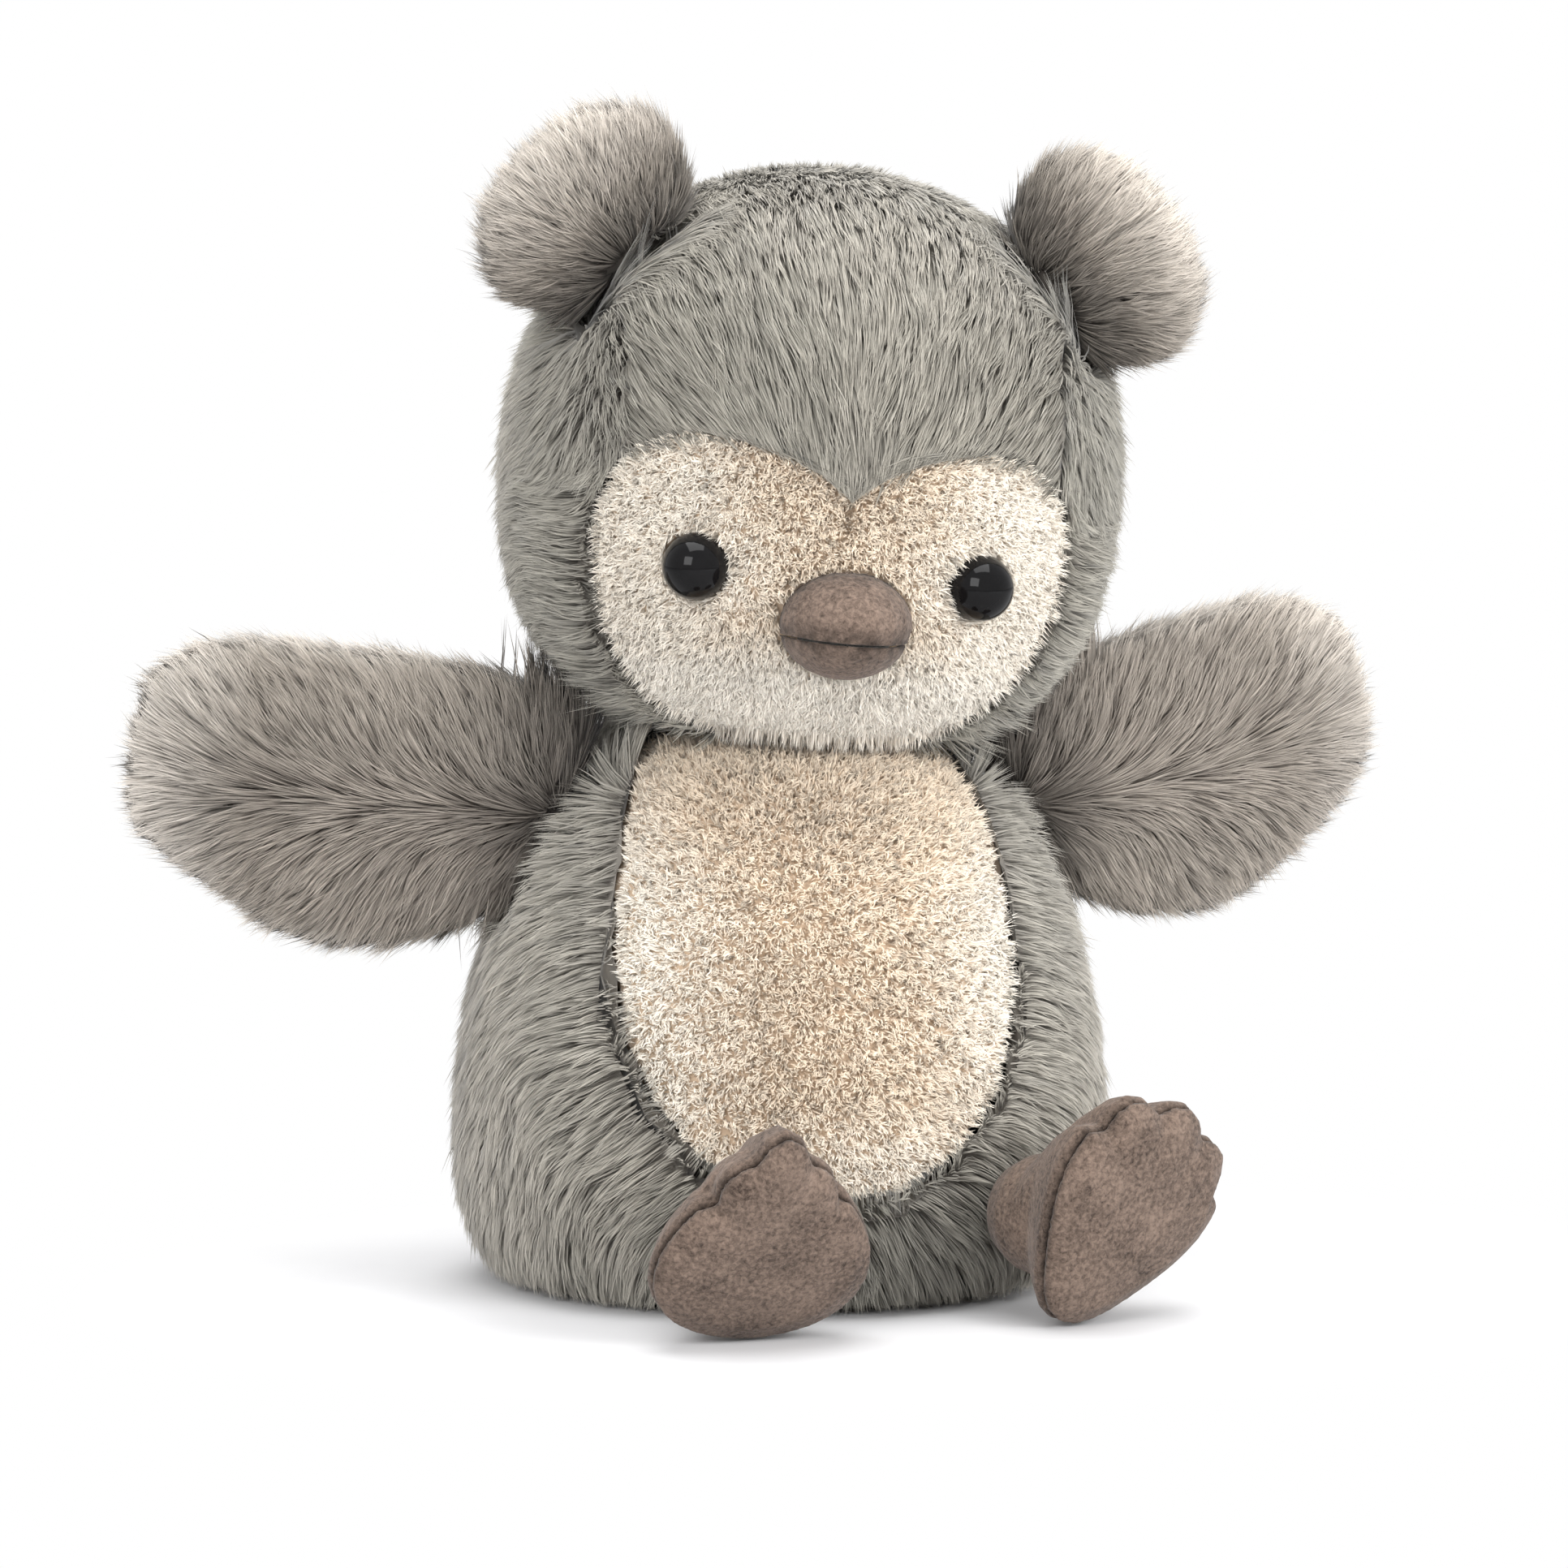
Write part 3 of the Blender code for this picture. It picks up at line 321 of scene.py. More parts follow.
def swirl(points, seed, reach):
    """A smooth random value from -1 to 1 at each point, that changes over about a reach."""
    chance = np.random.default_rng(seed)
    value = np.zeros(len(points))
    for _ in range(5):
        way = units(chance.normal(size=(1, 3)))[0] / reach * chance.uniform(0.6, 1.5)
        value += np.sin(points @ way * 2 * math.pi + chance.uniform(0, 6.3))
    return value / 3


def panel_tree(node):
    """A CAD node's surface in a tree for distances."""
    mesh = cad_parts[node].data
    return BVHTree.FromPolygons([vert.co for vert in mesh.vertices], [face.vertices for face in mesh.polygons])


def toward(node, spots, lie):
    """How far a panel is from each spot, and how much the lie there points at it, -1 to 1."""
    edge = panel_tree(node)
    nearest = [edge.find_nearest(Vector(spot)) for spot in spots]
    gap = np.array([found[3] for found in nearest])[:, None]
    return gap, dots(lie, units(np.array([found[0] for found in nearest]) - spots))


def nearest_of(spots, seeds):
    """For each spot, the nearest one of the spots that are seeds."""
    finder = KDTree(len(seeds))
    for i, spot in enumerate(spots[seeds]):
        finder.insert(spot, i)
    finder.balance()
    return seeds[np.array([finder.find(spot)[1] for spot in spots])]


LONG_LEVELS, LONG_WIDTHS = (0.0, 0.36, 0.70, 1.0), (1.0, 0.95, 0.62)
SHORT_LEVELS, SHORT_WIDTHS = (0.0, 0.55, 1.0), (1.0, 0.85)
PARTING = 0.0038


def grow_pile(
    node, name, seed, count, depth, reach, proud, width, comb, lock=7, gather=0.5, wild=9.0,
    levels=LONG_LEVELS, widths=LONG_WIDTHS, stops=(), overhang=0.0, partings=(),
    strays=0.03, loose=0.0005, flecks=0.0, air=0.0005,
):
    """Grow a panel's pile as tapered fibres from its backing, gathered into locks.

    comb(points, normals) gives the way the pile lies, how pale it is and how long it is. The
    pile ends at an overhang past its panel's edge where it lies towards one of the panels in
    stops, and stands up where it lies away from one of those in partings. Its tips end about
    where the CAD surface is, up to some times loose past it. A share of strays goes further,
    and a share of flecks is dark. A paleness below 0 darkens. Only faces with air in front of
    them carry pile."""
    chance = np.random.default_rng(seed)
    cloth, points, normals, walls, faces, is_open = backing_of(node, depth, air)
    fields = faces[is_open]
    first, second, third = (points[fields[:, i]] for i in range(3))
    areas = np.linalg.norm(np.cross(second - first, third - first), axis=1)
    picked = chance.choice(len(fields), int(count * 1.3), p=areas / areas.sum())
    shares = np.sort(chance.random((len(picked), 2)), axis=1)
    weights = np.stack((shares[:, 0], shares[:, 1] - shares[:, 0], 1 - shares[:, 1]), 1)[:, :, None]
    at = fields[picked]
    skin = (points[at] * weights).sum(1)
    out = units((normals[at] * weights).sum(1))
    free = np.flatnonzero([is_free(spot, way, air) for spot, way in zip(skin, out)])[:count]
    count = len(free)
    at, weights, skin, out = at[free], weights[free], skin[free], out[free]
    roots = (cloth[at] * weights).sum(1)
    lock_of = nearest_of(skin, chance.choice(count, count // lock, replace=False))
    tuft_of = nearest_of(skin, chance.choice(count, count // (lock * 9), replace=False))

    lie, pale, longer = comb(skin, out)
    lie = units(lie)
    outward = dots(lie, out)
    lie = lie - out * outward
    flat = np.linalg.norm(lie, axis=1, keepdims=True)
    lie = units(lie)
    angle = swirl(skin, seed + 1, 0.022) + chance.normal(size=count)[lock_of] * 0.8
    angle = angle + chance.normal(size=count)[tuft_of] * 0.5 + chance.normal(size=count) * 0.4
    angle = (np.radians(wild) * angle)[:, None]
    lie = lie * np.cos(angle) + np.cross(out, lie) * np.sin(angle)
    size = (longer * (1 + 0.15 * chance.normal(size=count)[lock_of] + 0.10 * chance.normal(size=count)))[:, None]
    size = np.clip(size, 0.4, 1.6) * np.clip(flat * 1.6, 0, 1)
    height = proud * (1 + 0.5 * chance.normal(size=count)[lock_of] + 0.35 * chance.normal(size=count))[:, None]
    height += 0.0028 * np.clip(outward * 1.6 - 0.5, 0, 1) * chance.uniform(0.3, 1.5, (count, 1))
    height += 0.0080 * np.clip(longer - 1.4, 0, 1)[:, None] * chance.uniform(0.3, 1.2, (count, 1))
    stray = chance.random((count, 1)) < strays
    height += stray * chance.uniform(0.0004, 0.0016, (count, 1))
    for other in stops:
        gap, facing = toward(other, skin, lie)
        limit = (gap / np.clip(facing, 0.3, 1) + overhang + 0.14 * reach * chance.uniform(-1, 1, (count, 1))) / reach
        size = np.where(facing > 0.15, np.clip(size, 0, np.maximum(limit, 0.05)), size)
    for other in partings:
        gap, facing = toward(other, skin, lie)
        stand = np.clip(1 - gap / PARTING, 0, 1) * np.clip(-facing * 1.5, 0, 1)
        size = size * (1 - 1.35 * stand)
        height += 0.0022 * stand * chance.uniform(0.5, 1.2, (count, 1))
    tips = skin + lie * reach * size + out * height
    tips += (tips[tuft_of] - tips) * (0.18 * gather)
    tips += (tips[lock_of] - tips) * (gather * chance.uniform(0.5, 1.25, (count, 1))) * ~stray
    spread = chance.exponential(0.8, (count, 1)) + chance.exponential(0.8, (count, 1))[lock_of]
    spread = spread + chance.exponential(0.7, (count, 1))[tuft_of]
    room = proud + loose * spread + stray * loose * 3
    room *= 1 + 3 * np.clip(longer - 1.4, 0, 1)[:, None]
    for i, tip in enumerate(tips):
        spot, way, _, far = solids.find_nearest(Vector(tip))
        past = Vector(tip) - spot
        if far > room[i, 0] and past.dot(way) > -0.5 * far:
            tips[i] = spot + past * (room[i, 0] / far)
    moved = tips - skin
    far = np.maximum(np.linalg.norm(moved, axis=1, keepdims=True), 1e-9)
    tips = skin + moved * np.minimum(1, 1.6 * reach * longer[:, None] / far)
    bends = roots + (skin - roots) * 0.95 + (tips - skin) * 0.22
    tips[:, 2] = np.maximum(tips[:, 2], 0.0003)
    bends[:, 2] = np.maximum(bends[:, 2], 0.0004)

    levels, widths = np.array(levels), np.array(widths)
    steps = len(widths)
    t = levels[None, :, None]
    path = roots[:, None] * (1 - t) ** 2 + bends[:, None] * 2 * t * (1 - t) + tips[:, None] * t**2
    run = 2 * (1 - t) * (bends - roots)[:, None] + 2 * t * (tips - bends)[:, None]
    across = np.cross(run, np.broadcast_to(out[:, None], run.shape))
    across /= np.maximum(np.linalg.norm(across, axis=2, keepdims=True), 1e-9)
    tilt = (chance.normal(size=count) * 1.1)[:, None, None]
    up_from = np.cross(across, run)
    up_from /= np.maximum(np.linalg.norm(up_from, axis=2, keepdims=True), 1e-9)
    across = across * np.cos(tilt) + up_from * np.sin(tilt)
    wide = (width * chance.uniform(0.7, 1.3, count))[:, None, None] * widths[None, :, None] / 2
    lefts, rights = path[:, :-1] - across[:, :-1] * wide, path[:, :-1] + across[:, :-1] * wide
    fibres = np.concatenate((np.stack((lefts, rights), 2).reshape(count, 2 * steps, 3), path[:, -1:]), 1)
    per = 2 * steps + 1

    rings = [(2 * i, 2 * i + 1, 2 * i + 3, 2 * i + 2) for i in range(steps - 1)]
    end = (2 * steps - 2, 2 * steps - 1, 2 * steps)
    start = len(cloth) + per * np.arange(count)[:, None]
    quads = np.concatenate([start + np.array(row) for row in rings], 1).reshape(-1, 4)
    corners = np.concatenate((faces.ravel(), quads.ravel(), (start + np.array(end)).ravel()))
    totals = np.concatenate((np.full(len(faces), 3), np.full(len(quads), 4), np.full(count, 3)))
    spots = np.concatenate((cloth, fibres.reshape(-1, 3)))

    mesh = bpy.data.meshes.new(name)
    mesh.vertices.add(len(spots))
    mesh.vertices.foreach_set("co", spots.astype(np.float32).ravel())
    mesh.loops.add(len(corners))
    mesh.loops.foreach_set("vertex_index", corners.astype(np.int32))
    mesh.polygons.add(len(totals))
    mesh.polygons.foreach_set("loop_start", (np.cumsum(totals) - totals).astype(np.int32))
    mesh.update(calc_edges=True)
    mesh.shade_smooth()

    side = math.ceil(math.sqrt(count + len(faces)))
    cells = np.arange(count + len(faces))
    corner_of = np.stack((cells % side, cells // side), 1) / side
    cloth_spots = np.array(((0.2, 0.2), (0.8, 0.2), (0.5, 0.8)))
    strand_spots = [(0.2 + 0.6 * (i % 2), 0.08 + 0.84 * levels[i // 2]) for i in range(2 * steps)]
    strand_spots = np.array(strand_spots + [(0.5, 0.92)])
    cloth_map = corner_of[:len(faces), None] + cloth_spots[None] / side
    strand_map = corner_of[len(faces):, None] + strand_spots[None] / side
    layout = np.concatenate((
        cloth_map.reshape(-1, 2),
        strand_map[:, np.array(rings).ravel()].reshape(-1, 2),
        strand_map[:, end].reshape(-1, 2),
    ))
    mesh.uv_layers.new(name="OFBake").data.foreach_set("uv", layout.astype(np.float32).ravel())

    rest = np.zeros(len(cloth))
    climb = np.array([levels[i // 2] for i in range(2 * steps)] + [1.0])
    tint = np.clip(0.5 + 0.13 * chance.normal(size=count)[lock_of] + 0.20 * chance.normal(size=count), 0, 1)
    # Painted shade: a paleness below 0 darkens the whole fibre.
    tint += np.minimum(pale, 0)
    pale = np.clip(pale, 0, 1)
    tint = np.where(chance.random(count)[lock_of] < flecks * (1 - pale), tint - 1.2, tint)
    # The backing takes the root colour (along 0): a darker sheet under the fibres, partly painted shade deep in the
    # pile.
    for label, values in (
        ("along", np.concatenate((rest, np.tile(climb, count)))),
        ("tint", np.concatenate((rest + 0.5, np.repeat(tint, per)))),
        ("pale", np.concatenate((rest, np.repeat(pale, per)))),
    ):
        mesh.attributes.new(label, "FLOAT", "POINT").data.foreach_set("value", values.astype(np.float32))
    raised = units(out - np.minimum(out[:, 2:], 0) * np.array((0, 0, 0.55)))
    soft = units(raised + 0.15 * chance.normal(size=(count, 3))[lock_of] + 0.10 * chance.normal(size=(count, 3)))
    facing_out = np.concatenate((walls, np.repeat(soft, per, axis=0)))
    normal_list = mesh.attributes.new("custom_normal", "FLOAT_VECTOR", "POINT")
    normal_list.data.foreach_set("vector", facing_out.astype(np.float32).ravel())
    piece = bpy.data.objects.new(name, mesh)
    bpy.context.scene.collection.objects.link(piece)
    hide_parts(node)
    return piece


def fibre_effect():
    """The group that colours a fibre from its root to its tip, with drifts over the whole toy."""
    group = bpy.data.node_groups.new("Fibre tone and painted light", "ShaderNodeTree")
    for label in ("Root", "Middle", "Tip", "Pale tip"):
        group.interface.new_socket(label, in_out="INPUT", socket_type="NodeSocketColor")
    for label in ("Drift size", "Variation"):
        group.interface.new_socket(label, in_out="INPUT", socket_type="NodeSocketFloat")
    group.interface.new_socket("Colour", in_out="OUTPUT", socket_type="NodeSocketColor")
    given = group.nodes.new("NodeGroupInput")
    along = add_node(group, "ShaderNodeAttribute", {"attribute_name": "along"})
    tint = add_node(group, "ShaderNodeAttribute", {"attribute_name": "tint"})
    pale = add_node(group, "ShaderNodeAttribute", {"attribute_name": "pale"})
    place = add_node(group, "ShaderNodeTexCoord")
    low, high = (
        add_node(
            group, "ShaderNodeMapRange", {"interpolation_type": "SMOOTHSTEP"},
            Value=along.outputs["Fac"], From_Min=start, From_Max=end,
        )
        for start, end in ((0.0, 0.62), (0.55, 1.0))
    )
    # Paleness turns the tip, and then the whole fibre, toward the pale tip colour: the pile's own paler tone on the
    # tummy and face, and painted light at rims, tips, the crown's top and the chin.
    tip = add_mix(group, pale.outputs["Fac"], given.outputs["Tip"], given.outputs["Pale tip"])
    stem = add_mix(group, low.outputs[0], given.outputs["Root"], given.outputs["Middle"])
    root_to_tip = add_mix(group, high.outputs[0], stem, tip)
    pale_tone_and_light = add_node(group, "ShaderNodeMath", {"operation": "MULTIPLY"}, i0=pale.outputs["Fac"], i1=0.75)
    whole = add_mix(group, pale_tone_and_light.outputs[0], root_to_tip, given.outputs["Pale tip"])
    drift = add_node(
        group, "ShaderNodeTexNoise", None,
        Vector=place.outputs["Object"], Scale=given.outputs["Drift size"], Detail=3.0,
    )
    sum_ = add_node(group, "ShaderNodeMath", {"operation": "ADD"}, i0=drift.outputs[0], i1=tint.outputs["Fac"])
    centred = add_node(group, "ShaderNodeMath", {"operation": "SUBTRACT"}, i0=sum_.outputs[0], i1=1.0)
    gain = add_node(
        group, "ShaderNodeMath", {"operation": "MULTIPLY_ADD"},
        i0=centred.outputs[0], i1=given.outputs["Variation"], i2=1.0,
    )
    shade = add_node(group, "ShaderNodeVectorMath", {"operation": "SCALE"}, i0=whole, Scale=gain.outputs[0])
    out = group.nodes.new("NodeGroupOutput")
    group.links.new(shade.outputs[0], out.inputs["Colour"])
    return group


fibre_tone_and_light = fibre_effect()


def pile_finish(name, root, middle, tip, pale_tip, drift=45.0, variation=0.5, sheen=0.25, through=0.3):
    """A material for a pile of fibres coloured like this from root to tip, the darker roots partly painted shade."""
    finish, tree, shader = new_finish(name)
    fibre_tone = add_node(
        tree, "ShaderNodeGroup", {"node_tree": fibre_tone_and_light},
        Root=to_linear(*root), Middle=to_linear(*middle), Tip=to_linear(*tip), Pale_tip=to_linear(*pale_tip),
        Drift_size=drift, Variation=variation,
    )
    tree.links.new(fibre_tone.outputs["Colour"], shader.inputs["Base Color"])
    facing = add_node(tree, "ShaderNodeNewGeometry")
    side = add_node(
        tree, "ShaderNodeMath", {"operation": "MULTIPLY_ADD"}, i0=facing.outputs["Backfacing"], i1=-2.0, i2=1.0
    )
    outward = add_node(
        tree, "ShaderNodeVectorMath", {"operation": "SCALE"}, i0=facing.outputs["Normal"], Scale=side.outputs[0]
    )
    tree.links.new(outward.outputs[0], shader.inputs["Normal"])
    glow = add_node(tree, "ShaderNodeBsdfTranslucent", None, Color=fibre_tone.outputs["Colour"], Normal=outward.outputs[0])
    both = add_node(tree, "ShaderNodeMixShader", None, i0=through, i1=shader.outputs[0], i2=glow.outputs[0])
    tree.links.new(both.outputs[0], tree.nodes["Material Output"].inputs["Surface"])
    shader.inputs["Roughness"].default_value = 0.8
    shader.inputs["Specular IOR Level"].default_value = 0.25
    shader.inputs["Sheen Weight"].default_value = sheen
    shader.inputs["Sheen Roughness"].default_value = 0.6
    return finish


grey_pile = pile_finish(
    "grey_long_pile", (128, 123, 115), (165, 161, 151), (186, 182, 171), (212, 206, 195), variation=0.4
)

TUMMY_MIDDLE = np.array((0.0, -0.050, 0.058))
TUMMY_HALF = np.array((0.033, 1.0, 0.040))


def body_lie(points, normals):
    """Away from the tummy's edge in front, down round the sides and back."""
    away = (points - TUMMY_MIDDLE) / TUMMY_HALF
    away[:, 1] = 0
    past = np.linalg.norm(away, axis=1, keepdims=True)
    away = units(away)
    front = np.clip(-normals[:, 1:2] * 3, 0, 1) * np.clip((1.62 - past) / 0.35, 0, 1)
    down = np.array((0.0, 0.0, -1.0))
    lie = away * front * np.array((1.5, 1.0, 0.7)) + down * (1.0 - 0.78 * front)
    aside = np.abs(points[:, 0])
    shoulder = np.clip((points[:, 2:] - 0.080) / 0.008, 0, 1) * np.clip((aside[:, None] - 0.014) / 0.008, 0, 1)
    lie = lie * (1 - shoulder) + np.array((0.0, -0.1, 1.0)) * shoulder
    front, shoulder = front[:, 0], shoulder[:, 0]
    # Painted shade: low in front, between the feet, the pile is painted darker (a paleness below 0).
    under = np.clip((0.028 - points[:, 2]) / 0.010, 0, 1) * np.clip((0.030 - aside) / 0.010, 0, 1) * front
    # Painted rim light: the pile is painted paler towards the sides.
    return lie, 0.25 + np.clip((aside - 0.040) / 0.02, 0, 0.4) - 0.9 * under, 1.0 - 0.25 * front + 0.7 * shoulder


for side, seed in (("left", 11), ("right", 12)):
    panel = grow_pile(
        f"body_panel_{side}", f"body_plush_{side}", seed, 36500, 0.0040, 0.0078, 0.0006, 0.00025, body_lie,
        lock=7, gather=0.38, partings=("tummy_panel",), air=0.0012,
    )
    panel.data.materials.append(grey_pile)
    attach(panel, "body")

# Tummy: an egg-shaped panel of short cream plush let into the body's front. Its pile stands
# up 3 mm and curls, so the brown of its roots shows between the tips as flecks.

cream_pile = pile_finish(
    "cream_short_pile", (212, 189, 164), (241, 223, 200), (247, 233, 213), (254, 249, 238),
    drift=60.0, variation=0.30, sheen=0.15, through=0.15,
)


def fluff_lie(points):
    """Every way, a little outward and down."""
    chance = np.random.default_rng(int(len(points)))
    return units(points - points.mean(0)) * 0.3 + chance.normal(size=points.shape) * 0.8 + np.array((0, 0, -0.35))


def tummy_fluff(points, normals):
    """Every way. The sides are nearly white and the top is darker."""
    edge = np.clip((np.abs(points[:, 0] - 0.002) - 0.008) / 0.022, 0, 1) ** 1.5
    low = np.clip((0.036 - points[:, 2]) / 0.016, 0, 0.7)
    top = np.clip((points[:, 2] - 0.066) / 0.016, 0, 1)
    # Painted shade: the tummy's top, under the chin, is painted darker.
    pale = np.maximum(edge, low) * (1 - 0.6 * top) - 0.45 * top * (1 - edge)
    return fluff_lie(points), pale, np.ones(len(points))


tummy = grow_pile(
    "tummy_panel", "tummy_plush", 21, 54000, 0.0013, 0.0014, 0.0002, 0.00027, tummy_fluff,
    lock=5, gather=0.5, wild=40.0, levels=SHORT_LEVELS, widths=SHORT_WIDTHS,
    stops=("body_panel_left", "body_panel_right"), overhang=0.0003, loose=0.0002, flecks=0.13, air=0.0012,
)
tummy.data.materials.append(cream_pile)
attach(tummy, "body")

# Base: a round panel of the same grey plush, sewn under the body. The owl's weight presses
# its pile flat on the table.


def base_lie(points, normals):
    """Outward from the middle, flat."""
    return points * np.array((1, 1, 0)) + 1e-5, np.zeros(len(points)), np.ones(len(points))


base = grow_pile("base_panel", "base_plush", 31, 7000, 0.0020, 0.0060, 0.0, 0.00060, base_lie, strays=0.0)
base.data.materials.append(grey_pile)
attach(base, "body")

# Head: a gusset of long grey plush over the crown, whose pile falls forward to a V between
# the eyes and back to the nape, and a side panel on each side, combed back from the face.

HEAD_MIDDLE = np.array((0.0048, -0.003, 0.1361))
HEAD_RIGHT = np.array((0.9952, -0.0435, -0.0872))
HEAD_BACK = np.array((0.0436, 0.999, 0.0))
HEAD_UP = np.array((0.0871, -0.0038, 0.9962))


def in_head(points):
    """Points as the head's own across, back and up."""
    moved = points - HEAD_MIDDLE
    return moved @ HEAD_RIGHT, moved @ HEAD_BACK, moved @ HEAD_UP


def from_head(across, backward, upward):
    """Directions in the head's own axes as directions in the world."""
    return across[:, None] * HEAD_RIGHT + backward[:, None] * HEAD_BACK + upward[:, None] * HEAD_UP


def round_ears(points, lie):
    """The lie and length of pile that also stands up as a collar round the ears' roots."""
    ears = ("ear_front_left", "ear_back_left", "ear_front_right", "ear_back_right")
    gaps = [toward(ear, points, lie)[0] for ear in ears]
    near = np.clip(1 - np.min(gaps, axis=0) / 0.0045, 0, 1)
    return units(lie) * (1 - 0.7 * near) + 0.9 * near * HEAD_UP, 1 + 0.7 * near[:, 0]


def gusset_lie(points, normals):
    """Forward and down to the V in front, back and down behind."""
    x, y, z = in_head(points)
    ahead = np.clip((0.020 - y) / 0.006, -1, 1)
    inward = -x / 0.036 * np.clip((0.056 - z) / 0.036, 0, 1) * np.clip(ahead, 0, 1) * 0.95
    top = np.clip((normals @ HEAD_UP - 0.55) / 0.35, 0, 1)
    lie, longer = round_ears(points, from_head(inward, -ahead, -1.0 * np.ones(len(x))))
    # Painted light: the crown's top is painted paler, as the light from above.
    return lie, 0.25 * top, longer


def side_lie(points, normals):
    """On from the gusset's pile above, turning outward down to the face's edge, then back."""
    x, y, z = in_head(points)
    front = np.clip((-0.002 - y) / 0.016, 0, 1)
    below = np.clip((0.006 - z) / 0.014, 0, 1)
    turned = np.radians(-32 + 112 * np.maximum(np.clip((np.abs(x) - 0.040) / 0.011, 0, 1), below))
    lie = from_head(np.sign(x) * np.sin(turned), 0.8 * np.sin(turned), -np.cos(turned) + 0.15 * below)
    behind = from_head(np.sign(x) * 0.1, 0.9 + 0 * x, -0.85 + 0 * x)
    lie = lie * front[:, None] + behind * (1 - front)[:, None]
    neck = np.clip((-0.034 - z) / 0.006, 0, 1) * np.clip((np.abs(x) - 0.016) / 0.008, 0, 1)
    lie, longer = round_ears(points, lie)
    # Painted rim light: the pile is painted paler towards the head's sides.
    return lie, np.clip((np.abs(x) - 0.046) / 0.012, 0, 0.4), longer + 0.6 * neck


SIDES = ("head_side_left", "head_side_right")
# The crown's pile has paler roots and less contrast than the sides': less painted shade between its fibres.
crown_pile = pile_finish(
    "crown_long_pile", (140, 135, 126), (160, 156, 146), (180, 175, 164), (212, 206, 195), variation=0.45
)
gusset = grow_pile(
    "head_gusset", "head_gusset_plush", 41, 38000, 0.0022, 0.0092, 0.0002, 0.00028, gusset_lie,
    lock=7, gather=0.24, wild=6.0, stops=("face_panel",), overhang=0.0008, loose=0.0002,
)
gusset.data.materials.append(crown_pile)
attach(gusset, "head")
for side, seed in (("left", 42), ("right", 43)):
    panel = grow_pile(
        f"head_side_{side}", f"head_side_plush_{side}", seed, 26000, 0.0038, 0.0075, 0.0006, 0.00025, side_lie,
        lock=7, gather=0.38, partings=("face_panel",),
    )
    panel.data.materials.append(grey_pile)
    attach(panel, "head")

# Face: a heart-shaped panel of the short cream plush, let in between the gusset and the
# side panels. Its brow is warmer, and its cheeks and edges are nearly white.


def face_fluff(points, normals):
    """Every way, fuller at the chin, with a dart under the V. The cheeks and chin are nearly white."""
    x, y, z = in_head(points)
    chin = np.clip((-0.024 - z) / 0.010, 0, 1)
    cheek = np.clip((np.abs(x) - 0.012) / 0.012, 0, 1) * np.clip((0.014 - z) / 0.016, 0, 1)
    side = np.clip((np.abs(x) - 0.026) / 0.008, 0, 0.7)
    eyes = np.exp(-((np.abs(x) - 0.0229) ** 2 + (z + 0.0168) ** 2) / 0.010**2)
    # Painted light: the chin, which faces down, is painted nearly white.
    pale = 0.05 + np.maximum(np.maximum(chin, 0.75 * cheek), np.maximum(0.9 * eyes, 0.5 * side))
    hem = np.clip((-0.036 - z) / 0.006, 0, 1)
    dart = np.exp(-((x / 0.0008) ** 2)) * np.clip((z + 0.0105) / 0.002, 0, 1) * np.clip(-z / 0.001, 0, 1)
    lie = fluff_lie(points) + np.array((0, 0, -0.4)) * chin[:, None]
    lie = lie + np.outer(dart * np.sign(x), HEAD_RIGHT) * 1.2
    # Painted shade: the dart's fold under the V is painted darker (a paleness below 0).
    return lie, pale - 1.6 * dart, 1 + 0.4 * hem - 0.65 * dart


face = grow_pile(
    "face_panel", "face_plush", 51, 53000, 0.0013, 0.0014, 0.0002, 0.00027, face_fluff,
    lock=5, gather=0.5, wild=40.0, levels=SHORT_LEVELS, widths=SHORT_WIDTHS,
    stops=SIDES + ("head_gusset",), overhang=0.0002, loose=0.0002, flecks=0.12, air=0.0012,
)
face.data.materials.append(cream_pile)
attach(face, "head")

# Eyes: domes of glossy black plastic, each moulded with a shank that goes through the face
# and is held behind it by a lock washer.

EYES = {
    "left": (Vector((0.02441, -0.04336, 0.11737)), Vector((0.3713, -0.9037, -0.2133))),
    "right": (Vector((-0.02118, -0.04137, 0.12136)), Vector((-0.4795, -0.8665, -0.1388))),
}
EYE_RADIUS, EYE_RISE, EYE_FLOOR = 0.0054, 0.0058, 0.0012
SHANK_RADIUS, SHANK_END = 0.0018, 0.0105
gloss, tree, shader = new_finish("black_eye_plastic")
place = add_node(tree, "ShaderNodeTexCoord")
haze = add_node(tree, "ShaderNodeTexNoise", None, Vector=place.outputs["Object"], Scale=500.0, Detail=2.0)
tone = add_mix(tree, haze.outputs[0], (0.003, 0.003, 0.0033, 1), (0.006, 0.0056, 0.006, 1))
rough = add_node(tree, "ShaderNodeMapRange", None, Value=haze.outputs[0], To_Min=0.05, To_Max=0.10)
tree.links.new(tone, shader.inputs["Base Color"])
tree.links.new(rough.outputs[0], shader.inputs["Roughness"])
shader.inputs["Specular IOR Level"].default_value = 0.14

moulded, tree, shader = new_finish("washer_plastic")
place = add_node(tree, "ShaderNodeTexCoord")
mottle = add_node(tree, "ShaderNodeTexNoise", None, Vector=place.outputs["Object"], Scale=700.0, Detail=2.0)
tone = add_mix(tree, mottle.outputs[0], to_linear(226, 224, 216), to_linear(240, 239, 234))
tree.links.new(tone, shader.inputs["Base Color"])
shader.inputs["Roughness"].default_value = 0.4

